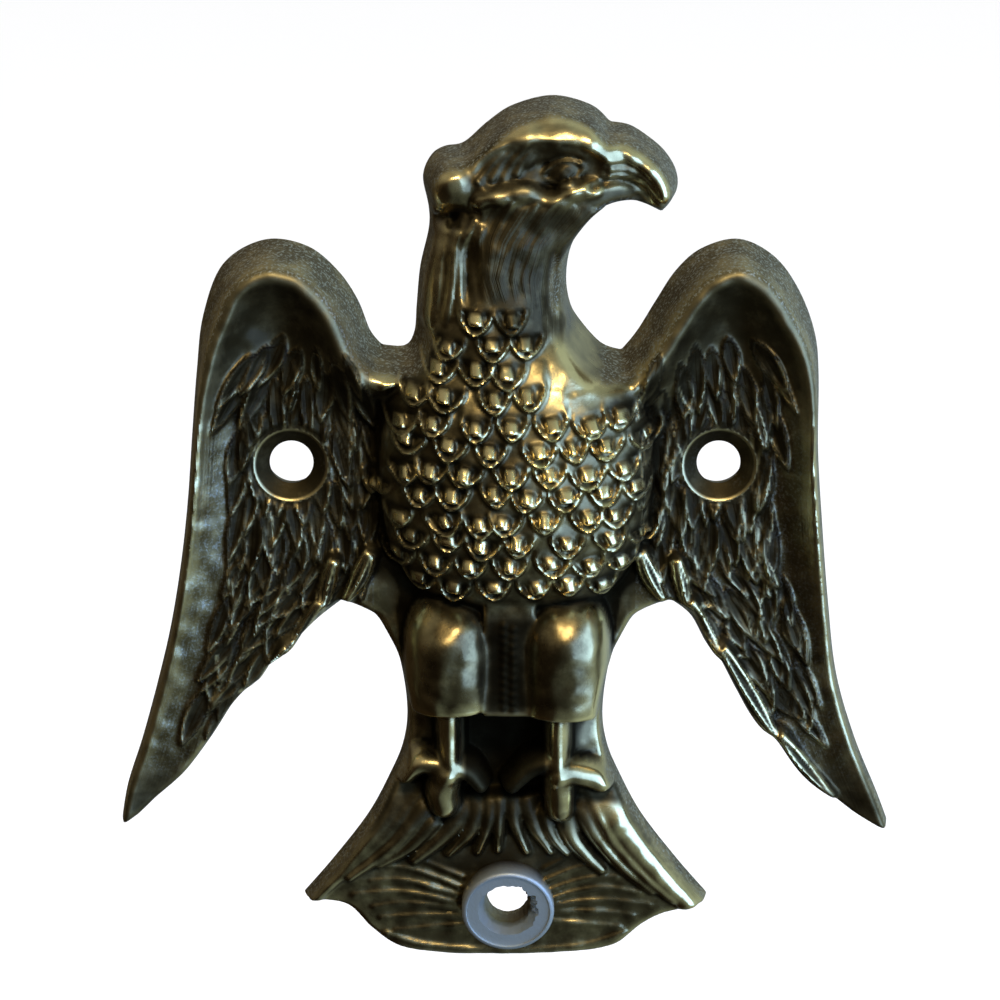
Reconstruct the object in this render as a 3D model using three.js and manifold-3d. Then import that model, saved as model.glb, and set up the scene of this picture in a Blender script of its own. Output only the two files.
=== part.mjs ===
// A cast brass wall plaque in the form of an eagle with lowered wings, in millimetres.
// +Z is up, the wall is the plane y = 0, and the relief stands out from it towards -Y.
// The origin is on the wall, midway between the two wing screws.
//
// The casting has no undercuts, so its front is one height over the wall, relief(x, z).
// The surface has vertices only where the carving turns, and Delaunay triangles join them.

import * as THREE from "three";
import { mergeVertices } from "three/addons/utils/BufferGeometryUtils.js";
import Module from "manifold-3d";

const { clamp, lerp, smoothstep } = THREE.MathUtils;

// Heights above the wall
const FIELD = 5.0; // the sunk ground of the wings and the body
const WING_TIP_FIELD = 3.2;
const TAIL_END_FIELD = 3.6;
const RIM = 9.6; // the crest along the front edge of each wing
const CHEST = 16.2;
const NECK = 13.0;
const SKULL = 12.0;
const BEAK = 10.6;
const THIGH = 15.0;
const BELLY = 12.0;
const LEG = 9.8;
const BOSS = 7.3;

// Walls and fixings
const WALL_SLOPE = 4.0; // the outer wall rises 4 mm for each mm inwards, so that it leaves the mould
const SIDE_SLOPE = 9.0; // it is steeper at the sides of the neck, the legs, the tail and the wings
const HEAD_SHARE = 0.7; // how far the head's wall goes towards that slope
const WALL_ROUND = 2.4; // rounding of the edge between the wall and the front
const CREST_FLAT = 0.5;
const BACK_RIM = 3.4; // flat width that touches the wall
const RECESS = 1.8; // depth of the relieved back
const RECESS_SLOPE = 2.0;
const SCREW_HOLE_R = 2.8; // clears a number 10 wood screw
const COUNTERSINK_R = 4.7;
const WING_PAD_R = 5.3; // plain ground round each wing screw
const WING_PAD_LIFT = 0.3;
const PAD_R = 6.4; // flat pad behind each screw
const ROUND_SIDES = 30;
const WING_SCREW_X = 27.4;
const BOSS_Z = -60.4;
const BOSS_X = 0.4;
const BOSS_R = 6.2;
const BOSS_HOLE_R = 4.0; // at the front; it narrows to the screw's size
const BOSS_TILT = 0.26; // the boss faces slightly down

// Outline at the wall, as [x, z] points of smooth stretches that meet at corners
const NAPE = [
  [-15.8, 14.7], [-12.8, 14.6], [-11.6, 16.5], [-11.3, 20.0], [-10.8, 25.0], [-9.7, 29.8],
  [-9.7, 32.6], [-10.4, 36.5], [-9.3, 39.2], [-7.6, 40.3], [-5.2, 40.8], [-2.2, 43.4],
  [1.0, 45.5], [6.0, 46.7], [10.8, 45.5], [13.2, 43.4],
];
const BEAK_TOP = [
  [13.2, 43.4], [15.6, 43.0], [17.9, 41.6], [20.1, 39.7], [21.6, 37.2], [21.7, 34.6], [19.9, 31.9],
];
const THROAT = [
  [19.9, 31.9], [17.6, 33.0], [15.1, 33.6], [12.4, 32.8], [10.2, 30.5], [8.4, 27.5], [7.8, 23.8],
  [8.2, 20.5], [9.3, 18.3], [12.2, 15.0], [14.9, 14.0],
];
const RIGHT_LEADING = [
  [14.9, 14.0], [16.9, 16.5], [19.3, 20.5], [21.8, 24.4], [25.0, 27.2], [29.7, 28.4],
  [34.2, 26.2], [37.4, 22.0], [39.6, 16.5], [40.3, 11.0], [40.5, 0.7], [41.3, -9.4],
  [42.3, -19.6], [43.6, -29.4], [46.2, -38.2], [49.4, -46.0], [51.0, -50.2],
];
const RIGHT_TRAILING = [
  [51.0, -50.2], [49.6, -50.4], [46.1, -48.4], [43.4, -46.3], [40.3, -44.2], [38.1, -42.0],
  [35.2, -37.8], [32.8, -35.8], [30.4, -31.6], [28.2, -27.4], [26.4, -25.3], [24.3, -21.5],
  [21.4, -19.2],
];
const FLANK = [
  [21.2, -19.3], [18.3, -20.5], [16.5, -21.9], [14.4, -25.7], [13.3, -30.3], [12.9, -35.2],
  [13.5, -39.2], [15.0, -43.0], [18.1, -49.0], [23.0, -55.6], [27.2, -60.6],
];
const TAIL_END = [
  [27.2, -60.6], [24.9, -61.6], [20.9, -62.7], [18.4, -64.2], [14.3, -67.3], [7.4, -68.3],
  [0.0, -68.5], [-7.8, -68.4], [-14.3, -67.3], [-18.0, -64.6], [-21.0, -61.4], [-24.6, -60.6],
  [-27.2, -60.6],
];
const LEFT_TRAILING = [
  [-21.2, -19.3], [-23.6, -21.2], [-26.1, -23.3], [-27.4, -25.2], [-30.3, -27.4],
  [-31.8, -29.6], [-34.2, -31.6], [-36.0, -33.8], [-38.5, -37.8], [-41.5, -42.0],
  [-43.6, -44.2], [-46.0, -46.3], [-48.4, -48.6], [-51.1, -50.3],
];
const LEFT_LEADING = [
  [-51.1, -50.3], [-50.1, -44.9], [-47.9, -38.2], [-45.6, -30.1], [-43.8, -22.8],
  [-42.3, -14.5], [-41.2, -6.0], [-40.4, 3.0], [-39.6, 11.4], [-38.6, 18.6], [-35.9, 25.2],
  [-30.6, 28.3], [-25.2, 27.5], [-21.3, 24.3], [-18.8, 20.5], [-17.3, 16.6], [-15.8, 14.7],
];
const OUTLINE_STEP = 1.55;
const FINE_STEP = 0.9; // near the beak's tip and the points of the wings and tail

// One smooth stretch as evenly spaced points, without its last one
function stretch(points, step = OUTLINE_STEP) {
  const curve = new THREE.SplineCurve(points.map(([x, z]) => new THREE.Vector2(x, z)));
  return curve.getSpacedPoints(Math.ceil(curve.getLength() / step)).slice(0, -1);
}

const rightLeading = stretch(RIGHT_LEADING);
const leftLeading = stretch(LEFT_LEADING);
const leftFlank = FLANK.map(([x, z]) => [-x, z]).reverse();
const outline = [
  ...stretch(NAPE),
  ...stretch(BEAK_TOP, FINE_STEP),
  ...stretch(THROAT),
  ...rightLeading,
  ...stretch(RIGHT_TRAILING),
  ...stretch(FLANK),
  ...stretch(TAIL_END),
  ...stretch(leftFlank),
  ...stretch(LEFT_TRAILING),
  ...leftLeading,
];

function distanceToSegment(x, z, a, b) {
  const dx = b.x - a.x;
  const dz = b.y - a.y;
  const along = clamp(((x - a.x) * dx + (z - a.y) * dz) / (dx * dx + dz * dz), 0, 1);
  return Math.hypot(x - a.x - along * dx, z - a.y - along * dz);
}

function distanceToPath(x, z, path) {
  let best = Infinity;
  for (let i = 1; i < path.length; i += 1) {
    best = Math.min(best, distanceToSegment(x, z, path[i - 1], path[i]));
  }
  return best;
}

const closedOutline = [...outline, outline[0]];
const insetAt = (x, z) => distanceToPath(x, z, closedOutline);

function insideOutline(x, z) {
  let inside = false;
  for (let i = 1; i < closedOutline.length; i += 1) {
    const a = closedOutline[i - 1];
    const b = closedOutline[i];
    if (a.y > z !== b.y > z && x < a.x + ((b.x - a.x) * (z - a.y)) / (b.y - a.y)) {
      inside = !inside;
    }
  }
  return inside;
}

function smoothMax(a, b, blend) {
  const near = Math.max(blend - Math.abs(a - b), 0) / blend;
  return Math.max(a, b) + (near * near * blend) / 4;
}

const smoothMin = (a, b, blend) => -smoothMax(-a, -b, blend);

const MOUTH_PATH = [[11.0, 37.4], [14.0, 37.6], [16.4, 36.6], [18.4, 34.8]].map(
  ([x, z]) => new THREE.Vector2(x, z),
);

// Forms of the body. Each gives its own height, or 0 where it isn't

function dome(x, z, { at, half, base, top, power = 2 }) {
  const away =
    Math.abs((x - at[0]) / half[0]) ** power + Math.abs((z - at[1]) / half[1]) ** power;
  return away < 1 ? base + (top - base) * Math.sqrt(1 - away) : 0;
}

// A round-backed limb along a path, whose radius and height change evenly from its start to its end
function limb(x, z, { path, radius, base, top }) {
  const steps = path.length - 1;
  let height = 0;
  for (let i = 0; i < steps; i += 1) {
    const [ax, az] = path[i];
    const [bx, bz] = path[i + 1];
    const dx = bx - ax;
    const dz = bz - az;
    const along = clamp(((x - ax) * dx + (z - az) * dz) / (dx * dx + dz * dz), 0, 1);
    const share = (i + along) / steps;
    const away = Math.hypot(x - ax - along * dx, z - az - along * dz) / lerp(...radius, share);
    if (away < 1) {
      height = Math.max(height, base + (lerp(...top, share) - base) * Math.sqrt(1 - away * away));
    }
  }
  return height;
}

// A thigh: a drum with a domed upper end, cut off square below
const THIGH_DOME = 8.0;
const THIGH_CUT = 0.7;
const THIGH_POWER = 2.6;
const thighDome = (z, upper) => clamp((z - (upper - THIGH_DOME)) / THIGH_DOME, 0, 1) ** 2;
function drum(x, z, { at, half, upper, lower, top }) {
  const across = Math.abs(x - at) / half;
  if (across >= 1 || z > upper || z < lower - THIGH_CUT) {
    return 0;
  }
  const shape = Math.sqrt(Math.max(0, 1 - across ** THIGH_POWER - thighDome(z, upper)));
  return FIELD + (top - FIELD) * shape * smoothstep(z, lower - THIGH_CUT, lower);
}

const CHEST_FORM = { at: [1.3, -0.2], half: [17.6, 20.4], base: 4.4, top: CHEST, power: 2.4 };
const NECK_FORM = {
  path: [[0.8, 6.0], [-1.4, 15.0], [-1.6, 22.0], [-0.6, 27.0], [1.8, 31.5], [5.5, 35.0]],
  radius: [10.4, 8.6],
  base: 5.0,
  top: [NECK + 1.0, SKULL - 0.8],
};
const SKULL_FORM = { at: [4.4, 37.9], half: [12.6, 8.6], base: 5.0, top: SKULL, power: 3.0 };
const KNOB_FORM = { at: [-6.3, 36.9], half: [4.4, 4.0], base: 5.4, top: 11.6, power: 2.4 };
const BEAK_FORM = {
  path: [[11.0, 39.0], [15.0, 38.8], [18.0, 37.2], [19.8, 33.6]],
  radius: [5.2, 2.2],
  base: 4.4,
  top: [BEAK, BEAK - 2.6],
};
const BROW_FORM = {
  path: [
    [-6.8, 38.6], [-3.4, 39.4], [-0.4, 41.4], [2.2, 43.2], [5.6, 44.0], [9.0, 43.6], [12.4, 41.5],
    [15.2, 40.2], [18.0, 38.3], [19.6, 35.6],
  ],
  radius: [1.3, 1.2],
  base: BEAK - 2.0,
  top: [SKULL + 0.2, BEAK - 1.2],
};
const CHEEK_FORM = {
  path: [
    [-3.0, 35.0], [-0.2, 35.9], [2.6, 35.9], [4.8, 35.1], [6.6, 35.2], [8.4, 36.3], [10.8, 36.5],
  ],
  radius: [1.2, 1.2],
  base: SKULL - 1.6,
  top: [SKULL, SKULL + 0.2],
};
const EYE_FORM = { at: [7.1, 38.9], half: [2.3, 1.3], base: SKULL - 1.6, top: SKULL - 0.1 };
const SOCKET = { at: [5.2, 38.7], half: [7.4, 3.4], deep: 1.6 };
const MOUTH = { half: 0.5, deep: 0.9 };
const NAPE_HOLLOW = { at: [-5.8, 33.4], half: [2.6, 1.6], deep: 3.0 };
const THIGHS = [
  { at: -7.4, half: 5.8, upper: -15.4, lower: -31.2, top: THIGH },
  { at: 8.0, half: 5.9, upper: -15.0, lower: -31.8, top: THIGH },
];
const BELLY_X = 0.6;
const BELLY_HALF = 4.2;
const BELLY_FADE = 12; // the belly's curve would reach the ground this far from its middle
const BELLY_END = -31.4;
const SHANKS = [
  { path: [[-7.3, -31.5], [-7.1, -43.0]], radius: [1.6, 1.6], base: FIELD, top: [LEG, LEG - 0.6] },
  { path: [[6.6, -32.0], [6.8, -43.4]], radius: [1.6, 1.6], base: FIELD, top: [LEG, LEG - 0.6] },
];
// Toes as [ankle, knuckle, claw]
const TOES = [
  [[-7.2, -41.6], [-10.4, -40.6], [-13.4, -42.4]],
  [[-7.2, -41.6], [-4.8, -41.9], [-2.6, -43.6]],
  [[-7.2, -42.0], [-8.2, -44.6], [-8.0, -47.6]],
  [[6.8, -42.0], [3.6, -42.0], [0.8, -43.6]],
  [[6.8, -42.0], [10.4, -41.8], [13.6, -42.8]],
  [[6.8, -42.4], [7.0, -45.4], [7.2, -48.4]],
].map((path) => ({ path, radius: [2.0, 1.4], base: FIELD, top: [LEG - 0.2, LEG - 1.6] }));

// The ground falls evenly towards the tips of the wings and the end of the tail
const BODY_HALF = 19; // the wings lie further out than this
const WING_FALL = { from: -15, over: 36 };
const TAIL_FALL = { from: -44, over: 24 };
function ground(x, z) {
  if (Math.abs(x) > BODY_HALF) {
    return lerp(FIELD, WING_TIP_FIELD, clamp((WING_FALL.from - z) / WING_FALL.over, 0, 1));
  }
  return lerp(FIELD, TAIL_END_FIELD, clamp((TAIL_FALL.from - z) / TAIL_FALL.over, 0, 1));
}

// The wall's slope: steep at the outer sides of the wings, beside the neck, and from the legs down
function wallSlope(x, z) {
  const away = Math.abs(x);
  const wingSide = smoothstep(away, 35, 39.5) * smoothstep(-z, -22, -4);
  const neckSide = smoothstep(away, 6, 8) * smoothstep(-away, -14, -12) * smoothstep(z, 17, 21);
  const headSide = HEAD_SHARE * smoothstep(z, 31, 34);
  const legSide = smoothstep(-z, 20, 24) * smoothstep(-away, -24, -21);
  const tailSide = smoothstep(-z, 42, 46) * smoothstep(-away, -33, -30);
  const side = Math.max(wingSide, neckSide * smoothstep(-z, -36, -32), headSide, legSide, tailSide);
  return lerp(WALL_SLOPE, SIDE_SLOPE, side);
}

// The raised front edge of a wing: a crest, then a hollow slope down to the ground
const TIP_CREST = 1.4; // height of the crest over the ground at the wing's tip
const SHOULDER_SLOPE = 6.4; // width of the hollow slope
const TIP_SLOPE = 4.0;
const HOLLOW_POWER = 1.6;
const INNER_EDGE = 12; // the rim runs from here outwards
function rim(x, z) {
  const edge = distanceToPath(x, z, x > 0 ? rightLeading : leftLeading);
  const floor = ground(x, z);
  const crest = lerp(RIM, WING_TIP_FIELD + TIP_CREST, smoothstep(-z, -12, 40));
  const slope = lerp(SHOULDER_SLOPE, TIP_SLOPE, smoothstep(-z, -18, 40));
  const down = clamp((edge - crest / wallSlope(x, z) - CREST_FLAT) / slope, 0, 1);
  return floor + (crest - floor) * (1 - down) ** HOLLOW_POWER;
}

// The smooth forms of the body, before feathers are carved on them
function body(x, z) {
  let height = ground(x, z);
  if (Math.abs(x) > INNER_EDGE && z < 30 && z > -52) {
    height = Math.max(height, rim(x, z));
  }
  height = smoothMax(height, dome(x, z, CHEST_FORM), 1.2);
  if (z < -10 && z > BELLY_END - THIGH_CUT) {
    const away = Math.abs(x - BELLY_X);
    const belly = lerp(FIELD, BELLY, Math.sqrt(Math.max(0, 1 - (away / BELLY_FADE) ** 4)));
    height = Math.max(height, away < BELLY_HALF ? belly : 0);
    THIGHS.forEach((thigh) => {
      height = Math.max(height, drum(x, z, thigh));
    });
  }
  if (z > 4) {
    height = smoothMax(height, limb(x, z, NECK_FORM), 1.0);
    height = smoothMax(height, dome(x, z, KNOB_FORM), 0.6);
    height = smoothMax(height, dome(x, z, SKULL_FORM), 0.8);
    height = smoothMax(height, limb(x, z, BEAK_FORM), 0.5);
  }
  return height;
}

// How far a point is inside a hollow, from 0 at its edge to 1 in its middle
function inHollow(x, z, { at, half }) {
  return Math.max(0, 1 - ((x - at[0]) / half[0]) ** 2 - ((z - at[1]) / half[1]) ** 2);
}

// Strands of the neck's plumage run down from the cheek in a slow curve
const STRANDS = 7;
const STRAND_LIFT = 0.9;
const STRAND_TOP = 34.6;
const STRAND_END = 21.0;
const STRAND_FADE = 2; // length over which they rise at each end
const strandCentre = (z) => 0.2 + 2.4 * Math.sin((z - 26) * 0.2);
const strandPitch = (z) => lerp(1.65, 2.05, smoothstep(z, 22, 33));
function strands(x, z) {
  const across = (x - strandCentre(z)) / strandPitch(z);
  const lower = smoothstep(z, STRAND_END - 1, STRAND_END + STRAND_FADE);
  const upper = 1 - smoothstep(z, STRAND_TOP - STRAND_FADE, STRAND_TOP);
  const wave = 0.5 + 0.5 * Math.cos(2 * Math.PI * across);
  return Math.abs(across) < STRANDS / 2 ? STRAND_LIFT * wave * lower * upper : 0;
}

// Long tail feathers on the right as [root, middle, tip, radius]. The left mirrors them
const QUILL_PATHS = [
  [[14.7, -44.5], [19.2, -51.0], [26.0, -59.7], 2.1],
  [[12.4, -45.0], [16.2, -52.0], [22.4, -59.2], 1.5],
  [[10.2, -46.0], [12.8, -52.0], [18.4, -58.2], 1.4],
  [[8.6, -47.8], [10.0, -52.0], [14.2, -56.4], 1.3],
  [[5.6, -46.5], [6.5, -50.0], [9.4, -54.2], 1.2],
  [[3.2, -46.0], [3.9, -49.5], [5.8, -53.2], 1.1],
  [[0.9, -45.6], [1.2, -49.0], [2.0, -52.4], 1.0],
];
// Curled leaves on both sides of the boss
const LEAF_PATHS = [
  [[7.6, -55.6], [11.2, -54.6], [15.4, -56.6], 1.0],
  [[7.8, -57.6], [12.4, -56.8], [18.2, -59.6], 1.1],
  [[7.8, -59.6], [12.8, -59.2], [20.4, -61.4], 1.2],
  [[7.6, -61.6], [12.4, -61.8], [17.8, -63.4], 1.1],
  [[6.6, -63.6], [10.4, -64.4], [15.0, -65.8], 1.1],
  [[3.0, -66.4], [7.0, -66.6], [11.6, -66.9], 0.9],
];
const QUILL_LIFT = 1.7;
const LEAF_LIFT = 1.2;
const TAIL_STEPS = 5; // straight pieces of a ridge
function tailRidge([root, middle, tip, radius], lift, side) {
  const corners = [root, middle, tip].map(([x, z]) => new THREE.Vector2(side * x, z));
  return {
    path: new THREE.SplineCurve(corners).getPoints(TAIL_STEPS).map((p) => p.toArray()),
    radius: [radius, radius * 0.6],
    base: TAIL_END_FIELD - 0.6,
    top: [ground(0, root[1]) + lift, ground(0, tip[1]) + lift * 0.8],
  };
}
const TAIL_RIDGES = [-1, 1].flatMap((side) => [
  ...QUILL_PATHS.map((path) => tailRidge(path, QUILL_LIFT, side)),
  ...LEAF_PATHS.map((path) => tailRidge(path, LEAF_LIFT, side)),
]);

// Details that are modelled rather than cut: the face, the legs and feet, and the tail
function details(x, z, height) {
  let top = height;
  if (z > 18) {
    top += strands(x, z);
    top -= SOCKET.deep * Math.sqrt(inHollow(x, z, SOCKET));
    top -= NAPE_HOLLOW.deep * inHollow(x, z, NAPE_HOLLOW);
    top = Math.max(top, limb(x, z, BROW_FORM), limb(x, z, CHEEK_FORM), dome(x, z, EYE_FORM));
    const mouth = distanceToPath(x, z, MOUTH_PATH) / MOUTH.half;
    top -= MOUTH.deep * Math.max(0, 1 - mouth);
  }
  if (z < -30 && z > -52) {
    [...SHANKS, ...TOES].forEach((form) => {
      top = Math.max(top, limb(x, z, form));
    });
  }
  if (z < -43 && Math.abs(x) < 29) {
    TAIL_RIDGES.forEach((form) => {
      top = Math.max(top, limb(x, z, form));
    });
  }
  return top;
}

// Carving. A blade is one scale or feather, which lies on the form and points away from its root
function blade({ root, angle, length, width, lift, pointed }) {
  return { root, length, width, lift, pointed, dir: [Math.sin(angle), -Math.cos(angle)] };
}

// Half the blade's width at a share of its length: a tongue, or a leaf with two points
const TONGUE_SHOULDER = 0.5; // the share at which a tongue starts to narrow
function halfWidth(share, { width, pointed }) {
  if (pointed) {
    return (width / 2) * Math.sin(Math.PI * clamp(share, 0, 1) ** 0.85) ** 0.8;
  }
  const past = Math.max(0, share - TONGUE_SHOULDER) / (1 - TONGUE_SHOULDER);
  return (width / 2) * Math.sqrt(Math.max(0, 1 - past ** 2));
}

// A scale rises to its tip, with a pearl near it, and laps over the next row. A feather is a ridged leaf
const PEARL_SHARE = 0.74;
const PEARL_RADIUS = 0.3; // of the scale's width
function bladeHeight(x, z, b) {
  const dx = x - b.root[0];
  const dz = z - b.root[1];
  const share = (dx * b.dir[0] + dz * b.dir[1]) / b.length;
  if (share < 0 || share > 1) {
    return 0;
  }
  const across = Math.abs(dz * b.dir[0] - dx * b.dir[1]);
  const half = halfWidth(share, b);
  if (across > half) {
    return 0;
  }
  if (b.pointed) {
    return b.lift * (1 - across / (half + 0.01)) ** 0.7 * (0.55 + 0.45 * share);
  }
  const fromPearl = Math.hypot((share - PEARL_SHARE) * b.length, across) / (PEARL_RADIUS * b.width);
  return b.lift * (0.12 + 0.88 * share ** 1.5 + 0.3 * Math.exp(-fromPearl * fromPearl));
}

// Rows of small round scales over the chest, staggered like tiles
const SCALE_COLUMN = 4.6;
const SCALE_ROW = 3.1;
const SCALE_ROWS = 14;
const FIRST_ROW = 24.4;
const SCALED = { half: [16.7, 18.5], end: -14.4 }; // the part of the chest that has scales
const SCALE = { length: 5.6, width: 3.7, lift: 1.7, pointed: false };
function chestScales() {
  const scales = [];
  for (let row = 0; row < SCALE_ROWS; row += 1) {
    const z = FIRST_ROW - row * SCALE_ROW;
    for (let column = -5; column <= 5; column += 1) {
      const x = 0.8 + (column + (row % 2) / 2) * SCALE_COLUMN * (row < 3 ? 0.9 : 1);
      const tip = z - SCALE.length * 0.6;
      const spread =
        Math.abs((x - CHEST_FORM.at[0]) / SCALED.half[0]) ** CHEST_FORM.power +
        Math.abs((tip - CHEST_FORM.at[1]) / SCALED.half[1]) ** CHEST_FORM.power;
      const onNeck = tip > 12 && Math.abs(x + 0.8) < lerp(9, 6, (tip - 12) / 8);
      if ((spread < 1 && tip > SCALED.end) || onNeck) {
        const angle = (x - 1.2) * 0.012;
        scales.push(blade({ root: [x, z], angle, ...SCALE }));
      }
    }
  }
  return scales;
}

// Wing feathers lie in rows between an inner and an outer guide line, pointing along the wing
const WING_INNER = [
  [19.6, 16.0], [17.2, 8.0], [17.2, -2.0], [19.0, -12.0], [24.6, -18.8], [29.8, -25.6],
  [35.2, -33.2], [40.8, -40.4], [44.8, -45.8], [49.6, -50.4],
];
const WING_OUTER = [
  [30.0, 18.6], [34.4, 12.0], [35.2, 2.0], [35.4, -8.0], [36.6, -18.0], [38.4, -27.0],
  [41.4, -36.0], [44.2, -42.0], [46.4, -45.6], [49.9, -50.4],
];
const FEATHER_ROWS = 14;
const FEATHER = { length: 5.9, width: 2.5, lift: 1.3, pointed: true };
const FEATHER_PITCH = 3.1;
const FEATHERS_END = -33.0; // below this each wing's tip is bare

function guide(points, side) {
  return new THREE.SplineCurve(points.map(([x, z]) => new THREE.Vector2(side * x, z)));
}

// Every second feather of a row starts half a row lower
function wingFeathers(side) {
  const inner = guide(WING_INNER, side);
  const outer = guide(WING_OUTER, side);
  const feathers = [];
  for (let row = 0; row < FEATHER_ROWS; row += 1) {
    const start = (row + 0.2) / (FEATHER_ROWS + 1);
    const width = inner.getPoint(start).distanceTo(outer.getPoint(start));
    const count = Math.max(1, Math.round(width / FEATHER_PITCH));
    for (let i = 0; i < count; i += 1) {
      const share = Math.min(1, start + ((i % 2) * 0.5) / (FEATHER_ROWS + 1));
      const across = clamp((i + 0.5) / count, 0.08, 0.92);
      const root = inner.getPoint(share).lerp(outer.getPoint(share), across);
      const run = inner.getTangent(share).lerp(outer.getTangent(share), across);
      const angle = Math.atan2(run.x, -run.y) + 0.12 * Math.sin(row * 2.3 + i * 1.7);
      if (root.y > FEATHERS_END) {
        feathers.push(blade({ root: root.toArray(), angle, ...FEATHER }));
      }
    }
  }
  return feathers;
}

// Long quills lap along the trailing edge of each wing and end in its points
const QUILLS = 6;
const QUILL = { length: 7.4, width: 2.6, lift: 1.5, pointed: true };
const QUILL_INSET = [2.6, 1.9]; // from the edge to a quill's root
function wingQuills(side, edge) {
  const curve = guide(edge, 1);
  const quills = [];
  for (let i = 0; i < QUILLS; i += 1) {
    const share = 0.1 + (0.78 * i) / QUILLS;
    const start = curve.getPoint(side > 0 ? 1 - share : share);
    const run = curve.getTangent(side > 0 ? 1 - share : share).multiplyScalar(-side);
    const root = [start.x + side * QUILL_INSET[0], start.y + QUILL_INSET[1]];
    quills.push(blade({ root, angle: Math.atan2(run.x, -run.y) - side * 0.08, ...QUILL }));
  }
  return quills;
}

const blades = [
  ...chestScales(),
  ...wingFeathers(1),
  ...wingFeathers(-1),
  ...wingQuills(1, RIGHT_TRAILING),
  ...wingQuills(-1, LEFT_TRAILING),
];

// The boss for the tail screw: a short turned collar
function boss(x, z) {
  const away = Math.hypot(x - BOSS_X, z - BOSS_Z);
  return away < BOSS_R ? BOSS + (z - BOSS_Z) * BOSS_TILT : 0;
}

const WING_SCREWS = [new THREE.Vector2(-WING_SCREW_X, 0), new THREE.Vector2(WING_SCREW_X, 0)];
const onWingPad = (x, z) => Math.hypot(Math.abs(x) - WING_SCREW_X, z) < WING_PAD_R;

function relief(x, z, inset = insetAt(x, z)) {
  if (onWingPad(x, z)) {
    return FIELD + WING_PAD_LIFT;
  }
  let carved = 0;
  blades.forEach((b) => {
    if (Math.abs(x - b.root[0]) < b.length && Math.abs(z - b.root[1]) < b.length) {
      carved = Math.max(carved, bladeHeight(x, z, b));
    }
  });
  const top = Math.max(details(x, z, body(x, z) + carved), boss(x, z));
  return smoothMin(top, inset * wallSlope(x, z), WALL_ROUND);
}

// The relieved back: a shallow recess inside the rim that touches the wall, round the screws' pads
const SCREWS = [...WING_SCREWS, new THREE.Vector2(BOSS_X, BOSS_Z)];
const CLEAR = 0.6; // the cutting surface lies this far behind the wall where nothing is cut
function recess(x, z, inset) {
  const fromPads = Math.min(...SCREWS.map((screw) => Math.hypot(x - screw.x, z - screw.y))) - PAD_R;
  return clamp(Math.min(inset - BACK_RIM, fromPads) * RECESS_SLOPE, -CLEAR, RECESS);
}

// Vertices of a surface: kept apart, and every later one fits between the earlier ones
class Points {
  constructor(cell = 1) {
    this.list = [];
    this.cell = cell;
    this.bins = new Map();
  }

  add(x, z, gap) {
    const reach = Math.ceil(gap / this.cell);
    const bx = Math.floor(x / this.cell);
    const bz = Math.floor(z / this.cell);
    for (let i = bx - reach; i <= bx + reach; i += 1) {
      for (let j = bz - reach; j <= bz + reach; j += 1) {
        for (const p of this.bins.get(`${i},${j}`) ?? []) {
          if (Math.hypot(p.x - x, p.y - z) < gap) {
            return;
          }
        }
      }
    }
    const point = new THREE.Vector2(x, z);
    this.list.push(point);
    const key = `${bx},${bz}`;
    this.bins.set(key, [...(this.bins.get(key) ?? []), point]);
  }
}

// Points inside the outline, one for each of its points, left out where the casting is too narrow
function insetRow(points, insetOf, gap) {
  outline.forEach((p, i) => {
    const before = outline.at(i - 1);
    const after = outline[(i + 1) % outline.length];
    const normal = new THREE.Vector2(after.y - before.y, before.x - after.x).normalize();
    const inset = insetOf(p, normal);
    const x = p.x + normal.x * inset;
    const z = p.y + normal.y * inset;
    if (insideOutline(x, z) && insetAt(x, z) > inset * 0.85) {
      points.add(x, z, gap);
    }
  });
}

// How far inside a point of the outline its wall ends, from the height of the form there
const WALL_LOOK = 2.6;
function wallHead(p, normal) {
  return body(p.x + normal.x * WALL_LOOK, p.y + normal.y * WALL_LOOK) / wallSlope(p.x, p.y);
}

// Points along a limb, on its crest and on both of its edges
function limbPoints(points, { path, radius }, step = 1.8) {
  const curve = new THREE.CurvePath();
  for (let i = 1; i < path.length; i += 1) {
    curve.add(
      new THREE.LineCurve(new THREE.Vector2(...path[i - 1]), new THREE.Vector2(...path[i])),
    );
  }
  const count = Math.max(2, Math.round(curve.getLength() / step));
  for (let i = 0; i <= count; i += 1) {
    const p = curve.getPoint(i / count);
    const run = curve.getTangent(i / count);
    const edge = lerp(...radius, i / count);
    [0, edge - 0.12, 0.12 - edge, edge + 0.2, -edge - 0.2].forEach((across) => {
      addInside(points, p.x - run.y * across, p.y + run.x * across, 0.5);
    });
  }
}

function addInside(points, x, z, gap) {
  if (insideOutline(x, z) && insetAt(x, z) > 1.2) {
    points.add(x, z, gap);
  }
}

function ring(points, centre, radii, sides, gap) {
  radii.forEach((r) => {
    for (let i = 0; i < sides; i += 1) {
      const turn = (2 * Math.PI * i) / sides;
      addInside(points, centre.x + r * Math.cos(turn), centre.y + r * Math.sin(turn), gap);
    }
  });
}

function fillGrid(points, step, gap, wanted) {
  for (let row = 0; row * step < 120; row += 1) {
    for (let column = 0; column * step < 106; column += 1) {
      const nudge = 0.06 * step * Math.sin(row * 12.9 + column * 78.2); // no four points on one circle
      const x = -53 + (column + (row % 2) / 2) * step + nudge;
      const z = -71 + row * step - nudge;
      if (insideOutline(x, z) && wanted(x, z)) {
        const inset = insetAt(x, z);
        if (inset > 0.8) {
          points.add(x, z, gap);
        }
      }
    }
  }
}

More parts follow.
